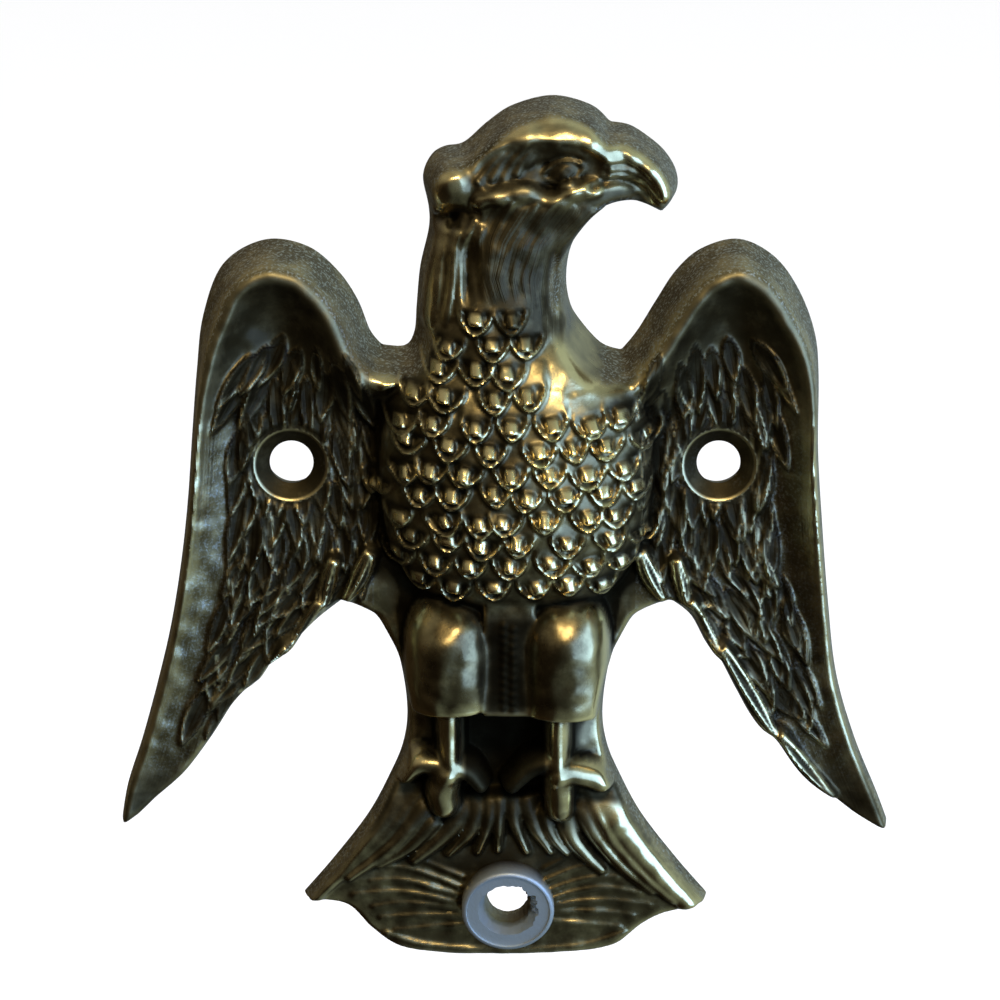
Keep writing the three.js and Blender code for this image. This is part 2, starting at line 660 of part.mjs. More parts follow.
// Delaunay triangles of the points, by inserting them one by one.
// Points inside the outline are nudged for it, because four on one circle have no one answer.
function triangulate(points) {
  const far = 1e4;
  const nudge = 2e-3;
  const nudged = points.map((p, i) => {
    const amount = i < outline.length ? 0 : nudge;
    return new THREE.Vector2(p.x + amount * Math.sin(i * 12.9), p.y + amount * Math.sin(i * 78.2));
  });
  const corners = [[-far, -far], [far, -far], [0, far]].map(([x, z]) => new THREE.Vector2(x, z));
  const all = [...nudged, ...corners];
  const circle = (a, b, c) => {
    const [A, B, C] = [all[a], all[b], all[c]];
    const d = 2 * (A.x * (B.y - C.y) + B.x * (C.y - A.y) + C.x * (A.y - B.y));
    const [a2, b2, c2] = [A, B, C].map((p) => p.lengthSq());
    const x = (a2 * (B.y - C.y) + b2 * (C.y - A.y) + c2 * (A.y - B.y)) / d;
    const y = (a2 * (C.x - B.x) + b2 * (A.x - C.x) + c2 * (B.x - A.x)) / d;
    return { corners: [a, b, c], x, y, r2: (A.x - x) ** 2 + (A.y - y) ** 2 };
  };
  const n = points.length;
  let triangles = [circle(n, n + 1, n + 2)];
  nudged.forEach((p, i) => {
    const edges = new Map();
    const kept = [];
    triangles.forEach((t) => {
      if ((p.x - t.x) ** 2 + (p.y - t.y) ** 2 >= t.r2) {
        kept.push(t);
        return;
      }
      const [a, b, c] = t.corners;
      [[a, b], [b, c], [c, a]].forEach(([from, to]) => {
        const twin = `${to},${from}`;
        if (edges.has(twin)) {
          edges.delete(twin);
        } else {
          edges.set(`${from},${to}`, [from, to]);
        }
      });
    });
    edges.forEach(([from, to]) => kept.push(circle(from, to, i)));
    triangles = kept;
  });
  return triangles
    .map((t) => t.corners)
    .filter((three) => Math.max(...three) < n)
    .filter(([a, b, c]) => {
      const x = (all[a].x + all[b].x + all[c].x) / 3;
      const z = (all[a].y + all[b].y + all[c].y) / 3;
      return insideOutline(x, z);
    });
}

// A closed geometry between a surface of heights over the outline and a flat base
function slab(points, heightAt, base) {
  const rim = outline.length;
  const top = points.map((p, i) => [p.x, -heightAt(p.x, p.y, i < rim), p.y]);
  const bottom = outline.map((p) => [p.x, -base, p.y]);
  const faces = triangulate(points).flatMap(([a, b, c]) => [a, b, c]);
  const back = THREE.ShapeUtils.triangulateShape(outline, []).flatMap(([a, b, c]) => {
    const down = THREE.ShapeUtils.isClockWise([outline[a], outline[b], outline[c]]);
    return (down ? [a, b, c] : [a, c, b]).map((i) => i + points.length);
  });
  const sides = [];
  if (outline.some((p, i) => top[i][1] !== bottom[i][1])) {
    for (let i = 0; i < rim; i += 1) {
      const j = (i + 1) % rim;
      sides.push(i, j, j + points.length, i, j + points.length, i + points.length);
    }
  }
  const geometry = new THREE.BufferGeometry();
  geometry.setAttribute("position", new THREE.Float32BufferAttribute([...top, ...bottom].flat(), 3));
  geometry.setIndex([...faces, ...sides, ...back]);
  return geometry;
}

const wasm = await Module();
wasm.setup();

function solid(geometry) {
  const bare = geometry.index ? geometry.toNonIndexed() : geometry.clone();
  bare.deleteAttribute("normal");
  bare.deleteAttribute("uv");
  const merged = mergeVertices(bare, 1e-4);
  return new wasm.Manifold(
    new wasm.Mesh({
      numProp: 3,
      vertProperties: merged.attributes.position.array,
      triVerts: new Uint32Array(merged.index.array),
    }),
  );
}

function frontPoints() {
  const points = new Points();
  outline.forEach((p) => points.add(p.x, p.y, 0));
  WING_SCREWS.forEach((screw) => {
    ring(points, screw, [WING_PAD_R - 0.05, WING_PAD_R + 0.4], ROUND_SIDES, 0.3);
  });
  ring(points, SCREWS[2], [BOSS_R - 0.05, BOSS_R + 0.3], ROUND_SIDES, 0.2);
  const clear = (x, z) => !onWingPad(x, z) && Math.hypot(x - BOSS_X, z - BOSS_Z) > BOSS_R + 0.5;
  insetRow(points, (p, n) => wallHead(p, n) - 0.15, 0.7);
  insetRow(points, (p, n) => wallHead(p, n) + CREST_FLAT, 0.9);
  const limbs = [BROW_FORM, CHEEK_FORM, ...SHANKS, ...TOES, ...TAIL_RIDGES];
  limbs.forEach((form) => limbPoints(points, form));
  ring(points, new THREE.Vector2(...EYE_FORM.at), [0, 1.2], 8, 0.4);
  MOUTH_PATH.forEach((p) => addInside(points, p.x, p.y, 0.3));
  for (let z = STRAND_END; z < STRAND_TOP; z += 1.5) {
    for (let half = -STRANDS; half <= STRANDS; half += 1) {
      addInside(points, strandCentre(z) + (half / 2) * strandPitch(z), z, 0.5);
    }
  }
  THIGHS.forEach(({ at, half, upper, lower }) => {
    for (let i = -3; i <= 3; i += 1) {
      const x = at + (i * half) / 3.05;
      addInside(points, x, lower, 0.3);
      addInside(points, x, lower - THIGH_CUT - 0.1, 0.3);
    }
    for (let z = upper - 0.1; z > lower; z -= z > upper - 3 ? 0.9 : 1.9) {
      const edge = half * (1 - thighDome(z, upper)) ** (1 / THIGH_POWER);
      [-1, 1].forEach((side) => {
        [0.99, 0.86, 0.62, 0.3].forEach((share) => addInside(points, at + side * share * edge, z, 0.5));
        addInside(points, at + side * (edge + 0.3), z, 0.4);
      });
    }
  });
  for (let x = -BELLY_HALF; x <= BELLY_HALF; x += 1.4) {
    addInside(points, BELLY_X + x, BELLY_END, 0.4);
    addInside(points, BELLY_X + x, BELLY_END - THIGH_CUT - 0.1, 0.4);
  }
  blades.forEach((b) => {
    const at = (share, across) => {
      const x = b.root[0] + b.dir[0] * share * b.length - b.dir[1] * across;
      const z = b.root[1] + b.dir[1] * share * b.length + b.dir[0] * across;
      if (clear(x, z)) {
        addInside(points, x, z, 0.5);
      }
    };
    if (b.pointed) {
      [0.12, 0.5, 0.9].forEach((share) => at(share, 0));
      [-0.06, 1.05].forEach((share) => at(share, 0));
      [0.2, 0.5, 0.8].forEach((share) => {
        [-1, 1].forEach((side) => at(share, side * (halfWidth(share, b) + 0.1)));
      });
      return;
    }
    [PEARL_SHARE, 0.98, 1.06].forEach((share) => at(share, 0));
    [0.89, 0.68, 0.5].forEach((share) => {
      [-1, 1].forEach((side) => {
        at(share, side * (halfWidth(share, b) - 0.06));
        at(share + 0.02, side * (halfWidth(share, b) + 0.3));
      });
    });
  });
  const onHead = (z) => z > 27;
  const onLegs = (x, z) => Math.abs(x) < 15 && z < -14 && z > -46;
  fillGrid(points, 1.5, 0.95, (x, z) => clear(x, z) && (onHead(z) || onLegs(x, z)));
  fillGrid(points, 2.6, 1.7, clear);
  return points.list;
}

function backPoints() {
  const points = new Points();
  outline.forEach((p) => points.add(p.x, p.y, 0));
  SCREWS.forEach((screw) => {
    ring(points, screw, [PAD_R - 0.3, PAD_R + RECESS / RECESS_SLOPE], ROUND_SIDES, 0.2);
  });
  insetRow(points, () => BACK_RIM - 0.3, 1.5);
  insetRow(points, () => BACK_RIM + RECESS / RECESS_SLOPE, 1.2);
  fillGrid(points, 7, 3, (x, z) => insetAt(x, z) > BACK_RIM + 1);
  return points.list;
}

// A body turned about the screw's axis, from a profile of [radius, height above the wall]
function turned(profile, screw) {
  const points = profile.map(([r, height]) => new THREE.Vector2(r, -height)).reverse();
  return new THREE.LatheGeometry(points, ROUND_SIDES).translate(screw.x, 0, screw.y);
}

const PAST = 2; // cuts run this far past the metal
const countersink = [
  [0, -PAST],
  [SCREW_HOLE_R, -PAST],
  [SCREW_HOLE_R, FIELD - (COUNTERSINK_R - SCREW_HOLE_R)],
  [COUNTERSINK_R + WING_PAD_LIFT, FIELD + 2 * WING_PAD_LIFT],
  [COUNTERSINK_R + WING_PAD_LIFT, RIM],
  [0, RIM],
];
const bossHole = [
  [0, -PAST],
  [SCREW_HOLE_R, -PAST],
  [SCREW_HOLE_R, PAST],
  [BOSS_HOLE_R, BOSS + PAST],
  [0, BOSS + PAST],
];

const front = slab(frontPoints(), (x, z, onRim) => (onRim ? 0 : relief(x, z)), 0);
const backHeight = (x, z, onRim) => (onRim ? -CLEAR : recess(x, z, insetAt(x, z)));
const back = slab(backPoints(), backHeight, -PAST);
let casting = solid(front).subtract(solid(back));
WING_SCREWS.forEach((screw) => {
  casting = casting.subtract(solid(turned(countersink, screw)));
});
casting = casting.subtract(solid(turned(bossHole, SCREWS[2])));

const mesh = casting.getMesh();
const geometry = new THREE.BufferGeometry();
geometry.setAttribute("position", new THREE.Float32BufferAttribute(mesh.vertProperties, mesh.numProp));
geometry.setIndex([...mesh.triVerts]);

const brass = new THREE.MeshStandardMaterial({ color: 0x6b5426, roughness: 0.35, metalness: 1 });
const eagle = new THREE.Mesh(geometry, brass);
eagle.name = "eagle_plaque";

const plaque = new THREE.Group();
plaque.add(eagle);

export default plaque;
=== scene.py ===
import math

import bmesh
import bpy
import numpy as np
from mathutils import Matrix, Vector


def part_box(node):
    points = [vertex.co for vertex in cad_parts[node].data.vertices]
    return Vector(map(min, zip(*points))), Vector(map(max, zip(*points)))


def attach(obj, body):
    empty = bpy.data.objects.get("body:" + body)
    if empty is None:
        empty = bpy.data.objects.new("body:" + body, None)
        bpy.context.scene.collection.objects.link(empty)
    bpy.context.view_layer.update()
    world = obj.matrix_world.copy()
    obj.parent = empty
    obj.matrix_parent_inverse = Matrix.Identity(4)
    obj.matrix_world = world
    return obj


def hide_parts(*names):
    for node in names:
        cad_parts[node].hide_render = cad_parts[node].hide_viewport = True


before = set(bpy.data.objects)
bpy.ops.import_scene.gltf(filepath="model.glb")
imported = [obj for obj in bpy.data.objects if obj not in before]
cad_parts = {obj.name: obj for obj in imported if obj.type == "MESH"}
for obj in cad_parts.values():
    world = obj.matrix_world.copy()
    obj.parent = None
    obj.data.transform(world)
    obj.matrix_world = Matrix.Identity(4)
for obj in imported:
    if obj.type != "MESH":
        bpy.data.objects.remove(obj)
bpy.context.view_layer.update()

# The pattern plate
# The plaque is one sand-cast brass relief with no undercuts, so a single height over the
# wall describes its front. The heights are kept on a fine grid, in millimetres.

MM = 0.001
STEP = 0.265  # spacing of the grid
MARGIN = 1.0  # of the grid past the casting
BLUR_REACH = 2.5  # how many of its radii a blur takes in
low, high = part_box("eagle_plaque")
xs = np.arange(low.x / MM - MARGIN, high.x / MM + MARGIN, STEP)
zs = np.arange(low.z / MM - MARGIN, high.z / MM + MARGIN, STEP)
X, Z = np.meshgrid(xs, zs)
SIDE = np.abs(X)  # distance from the middle


def smoothstep(value, start, end):
    share = np.clip((value - start) / (end - start), 0, 1)
    return share * share * (3 - 2 * share)


def mix(a, b, share):
    return a + (b - a) * share


def smooth_max(a, b, blend):
    near = np.maximum(blend - np.abs(a - b), 0) / blend
    return np.maximum(a, b) + near * near * blend / 4


def smooth_min(a, b, blend):
    return -smooth_max(-a, -b, blend)


def blur(field, radius):
    """Gaussian blur of a grid, with its radius in millimetres."""
    reach = int(math.ceil(BLUR_REACH * radius / STEP))
    taps = np.exp(-0.5 * (np.arange(-reach, reach + 1) * STEP / radius) ** 2)
    taps /= taps.sum()
    rows, columns = field.shape
    for across in (False, True):
        sides = ((0, 0), (reach, reach)) if across else ((reach, reach), (0, 0))
        padded = np.pad(field, sides, "edge")
        field = sum(
            tap * (padded[:, i : i + columns] if across else padded[i : i + rows])
            for i, tap in enumerate(taps)
        )
    return field


def window(x, z, reach):
    """The part of the grid within reach of a point, as a pair of slices."""
    left, right = np.searchsorted(xs, (x - reach, x + reach))
    bottom, top = np.searchsorted(zs, (z - reach, z + reach))
    return slice(bottom, top), slice(left, right)


carved = np.zeros(X.shape)  # what is carved on the forms
comb = np.zeros(X.shape)  # distance across the fine cuts, in millimetres
combed = np.zeros(X.shape)  # how strong the fine cuts are
dirt_and_shade_in_carving = np.zeros(X.shape)  # how much dirt lies in the carving, and painted shade round the chest's pearls
bright = np.zeros(X.shape)  # how much its raised edges are rubbed, dimmed towards the chest's lower left as painted shade


def lay(area, height, dirt_and_shade, shine, across=None):
    """Lay a carving over the others in a part of the grid. It may have fine cuts along it."""
    above = height > carved[area]
    layers = [(carved, height), (dirt_and_shade_in_carving, dirt_and_shade), (bright, shine), (combed, across is not None)]
    if across is not None:
        layers.append((comb, across))
    for grid, values in layers:
        grid[area] = np.where(above, values, grid[area])


# The outline and the wall
# The mould's edge: smooth stretches that meet at corners. The wall leans in so that the
# casting leaves the sand, but is steep outside the wings and beside the neck and the legs.

WALL_SLOPE = 4.0  # how much higher it is for each millimetre further in
SIDE_SLOPE = 9.0
HEAD_SHARE = 0.7  # how far the head's wall goes towards the side slope
HEAD_Z = (31, 34)  # the neck's wall changes to the head's between these heights
OUTER_SIDE = 37  # the outer sides of the wings lie further out than this
FINE = 0.5  # spacing of the outline's points
SPAN_POINTS = 24  # points worked out between two of a curve's own
INSET_REACH = 7.0  # how deep in the distance from the outline is still needed

NAPE = [
    (-15.8, 14.7), (-12.8, 14.6), (-11.6, 16.5), (-11.3, 20.0), (-10.8, 25.0), (-9.7, 29.8),
    (-9.7, 32.6), (-10.4, 36.5), (-9.3, 39.2), (-7.6, 40.3), (-5.2, 40.8), (-2.2, 43.4),
    (1.0, 45.5), (6.0, 46.7), (10.8, 45.5), (13.2, 43.4),
]
BEAK_TOP = [
    (13.2, 43.4), (15.6, 43.0), (17.9, 41.6), (20.1, 39.7), (21.6, 37.2), (21.7, 34.6),
    (19.9, 31.9),
]
THROAT = [
    (19.9, 31.9), (17.6, 33.0), (15.1, 33.6), (12.4, 32.8), (10.2, 30.5), (8.4, 27.5), (7.8, 23.8),
    (8.2, 20.5), (9.3, 18.3), (12.2, 15.0), (14.9, 14.0),
]
RIGHT_LEADING = [
    (14.9, 14.0), (16.9, 16.5), (19.3, 20.5), (21.8, 24.4), (25.0, 27.2), (29.7, 28.4),
    (34.2, 26.2), (37.4, 22.0), (39.6, 16.5), (40.3, 11.0), (40.5, 0.7), (41.3, -9.4),
    (42.3, -19.6), (43.6, -29.4), (46.2, -38.2), (49.4, -46.0), (51.0, -50.2),
]
RIGHT_TRAILING = [
    (51.0, -50.2), (49.6, -50.4), (46.1, -48.4), (43.4, -46.3), (40.3, -44.2), (38.1, -42.0),
    (35.2, -37.8), (32.8, -35.8), (30.4, -31.6), (28.2, -27.4), (26.4, -25.3), (24.3, -21.5),
    (21.4, -19.2),
]
FLANK = [
    (21.2, -19.3), (18.3, -20.5), (16.5, -21.9), (14.4, -25.7), (13.3, -30.3), (12.9, -35.2),
    (13.5, -39.2), (15.0, -43.0), (18.1, -49.0), (23.0, -55.6), (27.2, -60.6),
]
TAIL_END = [
    (27.2, -60.6), (24.9, -61.6), (20.9, -62.7), (18.4, -64.2), (14.3, -67.3), (7.4, -68.3),
    (0.0, -68.5), (-7.8, -68.4), (-14.3, -67.3), (-18.0, -64.6), (-21.0, -61.4), (-24.6, -60.6),
    (-27.2, -60.6),
]
LEFT_TRAILING = [
    (-21.2, -19.3), (-23.6, -21.2), (-26.1, -23.3), (-27.4, -25.2), (-30.3, -27.4),
    (-31.8, -29.6), (-34.2, -31.6), (-36.0, -33.8), (-38.5, -37.8), (-41.5, -42.0),
    (-43.6, -44.2), (-46.0, -46.3), (-48.4, -48.6), (-51.1, -50.3),
]
LEFT_LEADING = [
    (-51.1, -50.3), (-50.1, -44.9), (-47.9, -38.2), (-45.6, -30.1), (-43.8, -22.8),
    (-42.3, -14.5), (-41.2, -6.0), (-40.4, 3.0), (-39.6, 11.4), (-38.6, 18.6), (-35.9, 25.2),
    (-30.6, 28.3), (-25.2, 27.5), (-21.3, 24.3), (-18.8, 20.5), (-17.3, 16.6), (-15.8, 14.7),
]


def spline(points, spacing):
    """A smooth curve through the points, resampled at even spacing, with both of its ends."""
    p = np.array([points[0], *points, points[-1]], float)
    t = np.linspace(0, 1, SPAN_POINTS, endpoint=False)[:, None]
    dense = []
    for p0, p1, p2, p3 in zip(p, p[1:], p[2:], p[3:]):
        v0, v1 = (p2 - p0) / 2, (p3 - p1) / 2
        cubic, square = 2 * p1 - 2 * p2 + v0 + v1, -3 * p1 + 3 * p2 - 2 * v0 - v1
        dense.append(cubic * t**3 + square * t**2 + v0 * t + p1)
    dense = np.vstack([*dense, p[-1:]])
    along = np.r_[0, np.cumsum(np.hypot(*np.diff(dense, axis=0).T))]
    even = np.linspace(0, along[-1], max(2, math.ceil(along[-1] / spacing) + 1))
    return np.column_stack([np.interp(even, along, dense[:, i]) for i in (0, 1)])


def straights(path, reach):
    """For each straight of a path, the grid near it, the share along it and the distance."""
    for (ax, az), (bx, bz) in zip(path, path[1:]):
        dx, dz = bx - ax, bz - az
        area = window((ax + bx) / 2, (az + bz) / 2, reach + math.hypot(dx, dz) / 2)
        x, z = X[area] - ax, Z[area] - az
        along = np.clip((x * dx + z * dz) / (dx * dx + dz * dz), 0, 1)
        yield area, along, np.hypot(x - along * dx, z - along * dz)


def distance_to(path, reach):
    """Distance of each grid point to a path, as far as reach."""
    nearest = np.full(X.shape, float(reach))
    for area, _, away in straights(path, reach):
        nearest[area] = np.minimum(nearest[area], away)
    return nearest


left_flank = [(-x, z) for x, z in reversed(FLANK)]
stretches = [
    NAPE, BEAK_TOP, THROAT, RIGHT_LEADING, RIGHT_TRAILING, FLANK, TAIL_END, left_flank,
    LEFT_TRAILING, LEFT_LEADING,
]
outline = np.vstack([spline(points, FINE)[:-1] for points in stretches])
outline = np.vstack([outline, outline[:1]])

inside = np.zeros(X.shape, bool)
for (ax, az), (bx, bz) in zip(outline, outline[1:]):
    first, last = np.searchsorted(zs, sorted((az, bz)))
    for row in range(first, last):
        crossing = ax + (bx - ax) * (zs[row] - az) / (bz - az)
        inside[row] ^= xs > crossing
inset = distance_to(outline, INSET_REACH) * np.where(inside, 1, -1)

# Where the wall is steep: outside the wings, beside the neck, and from the thighs down.
outer = np.array([point for point in RIGHT_LEADING if point[0] > OUTER_SIDE])
outer_x = np.interp(-Z, -outer[:, 1], outer[:, 0])
wing_side = smoothstep(SIDE - outer_x, -8, -6) * smoothstep(-Z, -22, -4)
neck_side = smoothstep(SIDE, 6, 8) * smoothstep(-SIDE, -14, -12) * smoothstep(Z, 17, 21)
low_side = smoothstep(-Z, 20, 24)
side_share = np.maximum.reduce([wing_side, neck_side, low_side]) * (Z < HEAD_Z[1])
head_share = HEAD_SHARE * smoothstep(Z, *HEAD_Z)
wall_slope = mix(WALL_SLOPE, SIDE_SLOPE, np.maximum(side_share, head_share))

# The ground and the wings' front edges
# The ground lies low between the figure and a raised edge along the front of each wing.
# From that edge's crest the metal falls in a hollow curve to the ground.

FIELD = 5.0  # height of the ground
WING_TIP_FIELD = 3.2
TAIL_END_FIELD = 3.6
WING_FALL = (-15, 36)  # where it starts to fall towards the wing's tip, and for how long
TAIL_FALL = (-44, 24)
TAIL_CORNER = (30, -40)  # below this height, only what lies further out is wing
RIM = 9.6  # height of the raised edge's crest
CREST_FLAT = (0.5, 1.3)  # width of the crest's flat, at the sides and on the shoulders
TIP_CREST = 1.4  # height of the crest over the ground at the wing's tip
SHOULDER_SLOPE = 6.4  # width of the hollow slope
TIP_SLOPE = 4.0
HOLLOW_POWER = 1.6
INNER_EDGE = 12  # the rim runs from here outwards
RIM_REACH = 12.0  # and is not felt further in than this
BODY_HALF = 19  # the wings lie further out than this

wing_ground = mix(FIELD, WING_TIP_FIELD, np.clip((WING_FALL[0] - Z) / WING_FALL[1], 0, 1))
tail_ground = mix(FIELD, TAIL_END_FIELD, np.clip((TAIL_FALL[0] - Z) / TAIL_FALL[1], 0, 1))
of_wing = (SIDE > BODY_HALF) & ((SIDE > TAIL_CORNER[0]) | (Z > TAIL_CORNER[1]))
ground = np.where(of_wing, wing_ground, tail_ground)
leading = [spline(points, FINE) for points in (LEFT_LEADING, RIGHT_LEADING)]
edge = np.minimum(distance_to(leading[0], RIM_REACH), distance_to(leading[1], RIM_REACH))
crest = mix(RIM, WING_TIP_FIELD + TIP_CREST, smoothstep(-Z, -12, 40))
slope = mix(SHOULDER_SLOPE, TIP_SLOPE, smoothstep(-Z, -18, 40))
edge = mix(edge, blur(edge, 1.6), smoothstep(edge, 3.5, 6.0))  # the hollow's floor is round
crest_flat = mix(*CREST_FLAT, 1 - side_share)
down = np.clip((edge - crest / wall_slope - crest_flat) / slope, 0, 1)
rim = ground + (crest - ground) * (1 - down) ** HOLLOW_POWER
on_wing = (SIDE > INNER_EDGE) & (Z < 30) & (Z > -52)
body = np.where(on_wing, np.maximum(ground, rim), ground)

# The chest, the belly and the thighs
# The chest is a full dome. The thighs are two smooth drums, cut off square above the legs,
# with the belly between them at a lower level.

SUNK = 4.4  # the domes start a little below the ground
CHEST = 16.2  # height over the wall, as are the belly's, the thighs' and the head's
CHEST_AT = (1.3, -0.2)
CHEST_HALF = (17.6, 20.4)
BELLY = 12.0
BELLY_HALF = 4.2
BELLY_ROUND = 12  # the half width that its crown would have
BELLY_END = -31.4
BELLY_X = 0.6
THIGH = 15.0
THIGH_DOME = 8.0  # length of the round top
THIGH_CUT = 0.7  # width of the cut at its end
THIGH_TAPER = (0.1, 6)  # share that it thins by, from this far below its top
THIGH_POWER = 2.6  # above 2 a drum's sides are fuller than a circle
THIGHS = [(-7.1, 6.1, -15.4, -31.2), (7.6, 6.2, -15.0, -31.9)]  # x, half width, top and end


def dome(at, half, base, top, power=2.0):
    """An oval dome. A power above 2 makes it fuller and squarer."""
    away = np.abs((X - at[0]) / half[0]) ** power + np.abs((Z - at[1]) / half[1]) ** power
    return np.where(away < 1, base + (top - base) * np.sqrt(np.clip(1 - away, 0, 1)), 0)


body = smooth_max(body, dome(CHEST_AT, CHEST_HALF, SUNK, CHEST, 2.4), 1.2)
from_belly = np.abs(X - BELLY_X)
belly = mix(FIELD, BELLY, np.sqrt(np.clip(1 - (from_belly / BELLY_ROUND) ** 4, 0, 1)))
belly *= (Z < -10) & (Z > BELLY_END - THIGH_CUT)
belly *= smoothstep(BELLY_HALF - from_belly, 0, 0.9)
body = np.maximum(body, belly)
thighs = np.zeros(X.shape)
for x, half, top, end in THIGHS:
    across = np.abs(X - x) / half
    up = np.clip((Z - (top - THIGH_DOME)) / THIGH_DOME, 0, 1) ** 2
    shape = np.sqrt(np.clip(1 - across**THIGH_POWER - up, 0, 1))
    thin, below = THIGH_TAPER
    bulge = 1 - thin * np.clip((top - below - Z) / (top - below - end), 0, 1) ** 2
    drum = FIELD + (THIGH - FIELD) * shape * bulge * smoothstep(Z, end - THIGH_CUT, end)
    thighs = np.maximum(thighs, drum * ((Z < top) & (Z > end - THIGH_CUT) & (shape > 0)))
body = np.maximum(body, thighs)

# The neck, the head and the beak
# A half-round neck carries a flat-topped skull, a knob of plumage behind it, and a hooked
# beak. Brow and cheek are cast as ridges, with the eye in the hollow between them.

NECK = 13.0
SKULL = 12.0
KNOB = 11.5
BEAK = 10.6
HEAD_FOOT = 4  # the neck joins the chest above this height


def limb(path, radius, base, top, spacing=None, power=0.5):
    """A limb along a path, whose radius and height change from start to end.

    A power of 0.5 gives it a round back, and a higher one a narrower crest.
    """
    points = spline(path, spacing) if spacing else path
    height = np.zeros(X.shape)
    for i, (area, along, away) in enumerate(straights(points, max(radius))):
        share = (i + along) / (len(points) - 1)
        away = away / mix(*radius, share)
        rise = np.clip(1 - away * away, 0, 1) ** power
        lifted = np.where(away < 1, base + (mix(*top, share) - base) * rise, 0)
        height[area] = np.maximum(height[area], lifted)
    return height


neck = limb(
    [(0.8, 6.0), (-1.4, 15.0), (-1.6, 22.0), (-0.6, 27.0), (1.8, 31.5), (5.5, 35.0)],
    (10.4, 8.6), 5.0, (NECK + 1.0, SKULL - 0.8), 1.0,
)
knob = dome((-6.3, 36.8), (5.4, 4.8), SUNK, KNOB, 2.1)
skull = dome((4.4, 37.9), (12.6, 8.6), 5.0, SKULL, 3.0)
beak = limb(
    [(11.0, 39.0), (15.0, 38.8), (18.0, 37.2), (19.8, 33.6)],
    (5.2, 2.2), SUNK, (BEAK, BEAK - 2.6), 0.5,
)
head = smooth_max(smooth_max(smooth_max(neck, knob, 1.0), skull, 0.8), beak, 0.5)
body = smooth_max(body, np.where(Z > HEAD_FOOT, head, 0), 1.0)

MOUTH = [(10.8, 36.9), (13.6, 37.5), (16.4, 36.6), (18.6, 34.4)]
BEAK_GROOVES = [
    [(12.6, 39.4), (15.4, 39.2), (17.6, 37.6), (18.9, 35.4)],
    [(12.4, 38.4), (15.0, 38.3), (17.0, 36.9), (18.6, 35.0)],
]
TEMPLE_TUFTS = [
    [(-3.2, 37.6), (-1.8, 39.4), (-0.4, 40.8)],
    [(-1.6, 37.8), (-0.4, 39.8), (1.2, 41.6)],
    [(-0.2, 37.8), (1.0, 40.0), (2.8, 42.0)],
    [(1.4, 38.4), (2.6, 40.4), (4.6, 41.9)],
    [(2.8, 39.6), (4.4, 41.0), (6.6, 41.9)],
    [(4.2, 40.4), (6.2, 41.3), (8.8, 41.3)],
    [(5.4, 40.3), (7.4, 40.9), (9.8, 40.5)],
]
CHEEK_LUMPS = [(-0.6, 35.6), (2.2, 36.0), (8.2, 36.3)]


def hollow(at, half):
    """How far a point is inside an oval hollow, from 0 at its edge to 1 in its middle."""
    return np.clip(1 - ((X - at[0]) / half[0]) ** 2 - ((Z - at[1]) / half[1]) ** 2, 0, 1)


def bell(value, middle, width):
    """1 in the middle, and less to both sides of it."""
    return np.exp(-(((value - middle) / width) ** 2))


def groove(path, half, deep):
    """A round-bottomed cut along a path."""
    return deep * bell(distance_to(spline(path, 0.3), 3 * half), 0, half)


brow = limb(
    [(-8.4, 38.0), (-6.0, 38.4), (-3.4, 39.4), (-0.4, 41.4), (2.2, 43.2), (5.6, 44.0), (9.0, 43.6),
     (12.4, 41.5), (15.2, 40.2), (18.0, 38.3), (19.6, 35.6)],
    (2.3, 1.6), BEAK - 2.6, (SKULL - 1.3, BEAK - 0.9), 0.5,
)
cheek = limb(
    [(-3.0, 35.0), (-0.2, 35.9), (2.6, 35.9), (4.8, 35.1), (6.6, 35.2), (8.4, 36.3), (11.0, 36.5)],
    (1.5, 1.4), SKULL - 2.2, (SKULL, SKULL + 0.3), 0.5,
)
for x, z in CHEEK_LUMPS:
    cheek = smooth_max(cheek, dome((x, z), (1.9, 1.3), SKULL - 1.0, SKULL + 0.4), 0.3)
# Hollows round the eye, under the knob and beside the neck, and the cuts of mouth and beak.
socket = 2.2 * hollow((4.6, 38.7), (8.4, 3.8)) ** 0.75
nape_hollow = 0.8 * hollow((-6.7, 32.8), (3.0, 1.7)) + 1.3 * hollow((-4.4, 26.4), (1.6, 4.6))
mouth = groove(MOUTH, 0.42, 0.9)
for path in BEAK_GROOVES:
    mouth = np.maximum(mouth, groove(path, 0.3, 0.4))
tufts = np.zeros(X.shape)
for path in TEMPLE_TUFTS:
    tufts = np.maximum(tufts, limb(path, (0.6, 0.35), 0, (0.5, 0.3), 0.4))

# The eye: a ball between two lids that meet in its corners, with a fold round them.
EYE = (7.2, 38.6)
EYE_HALF = (2.5, 0.95)
EYE_RISE = 0.24  # the eye's long axis rises towards the beak
run, climb = math.cos(EYE_RISE), math.sin(EYE_RISE)
along_eye = (X - EYE[0]) * run + (Z - EYE[1]) * climb
over_eye = (Z - EYE[1]) * run - (X - EYE[0]) * climb
opening = EYE_HALF[1] * np.clip(1 - (along_eye / EYE_HALF[0]) ** 2, 0, 1)
from_lid = np.abs(over_eye) - opening
in_corner = smoothstep(-np.abs(along_eye), -EYE_HALF[0] - 0.5, -EYE_HALF[0] + 0.4)
ball = (along_eye / 1.7) ** 2 + (over_eye / 1.2) ** 2
eyeball = 0.9 * np.sqrt(np.clip(1 - ball, 0, 1)) * smoothstep(-from_lid, -0.05, 0.25)
lid_lift = np.where(over_eye > 0, 0.75, 0.45)
eyelid = lid_lift * bell(from_lid, 0.32, 0.27) * in_corner
eyelid = eyelid - 0.35 * bell(from_lid, 1.0, 0.35) * in_corner
pupil = 0.3 * bell(np.hypot(along_eye - 0.4, over_eye), 0, 0.45)

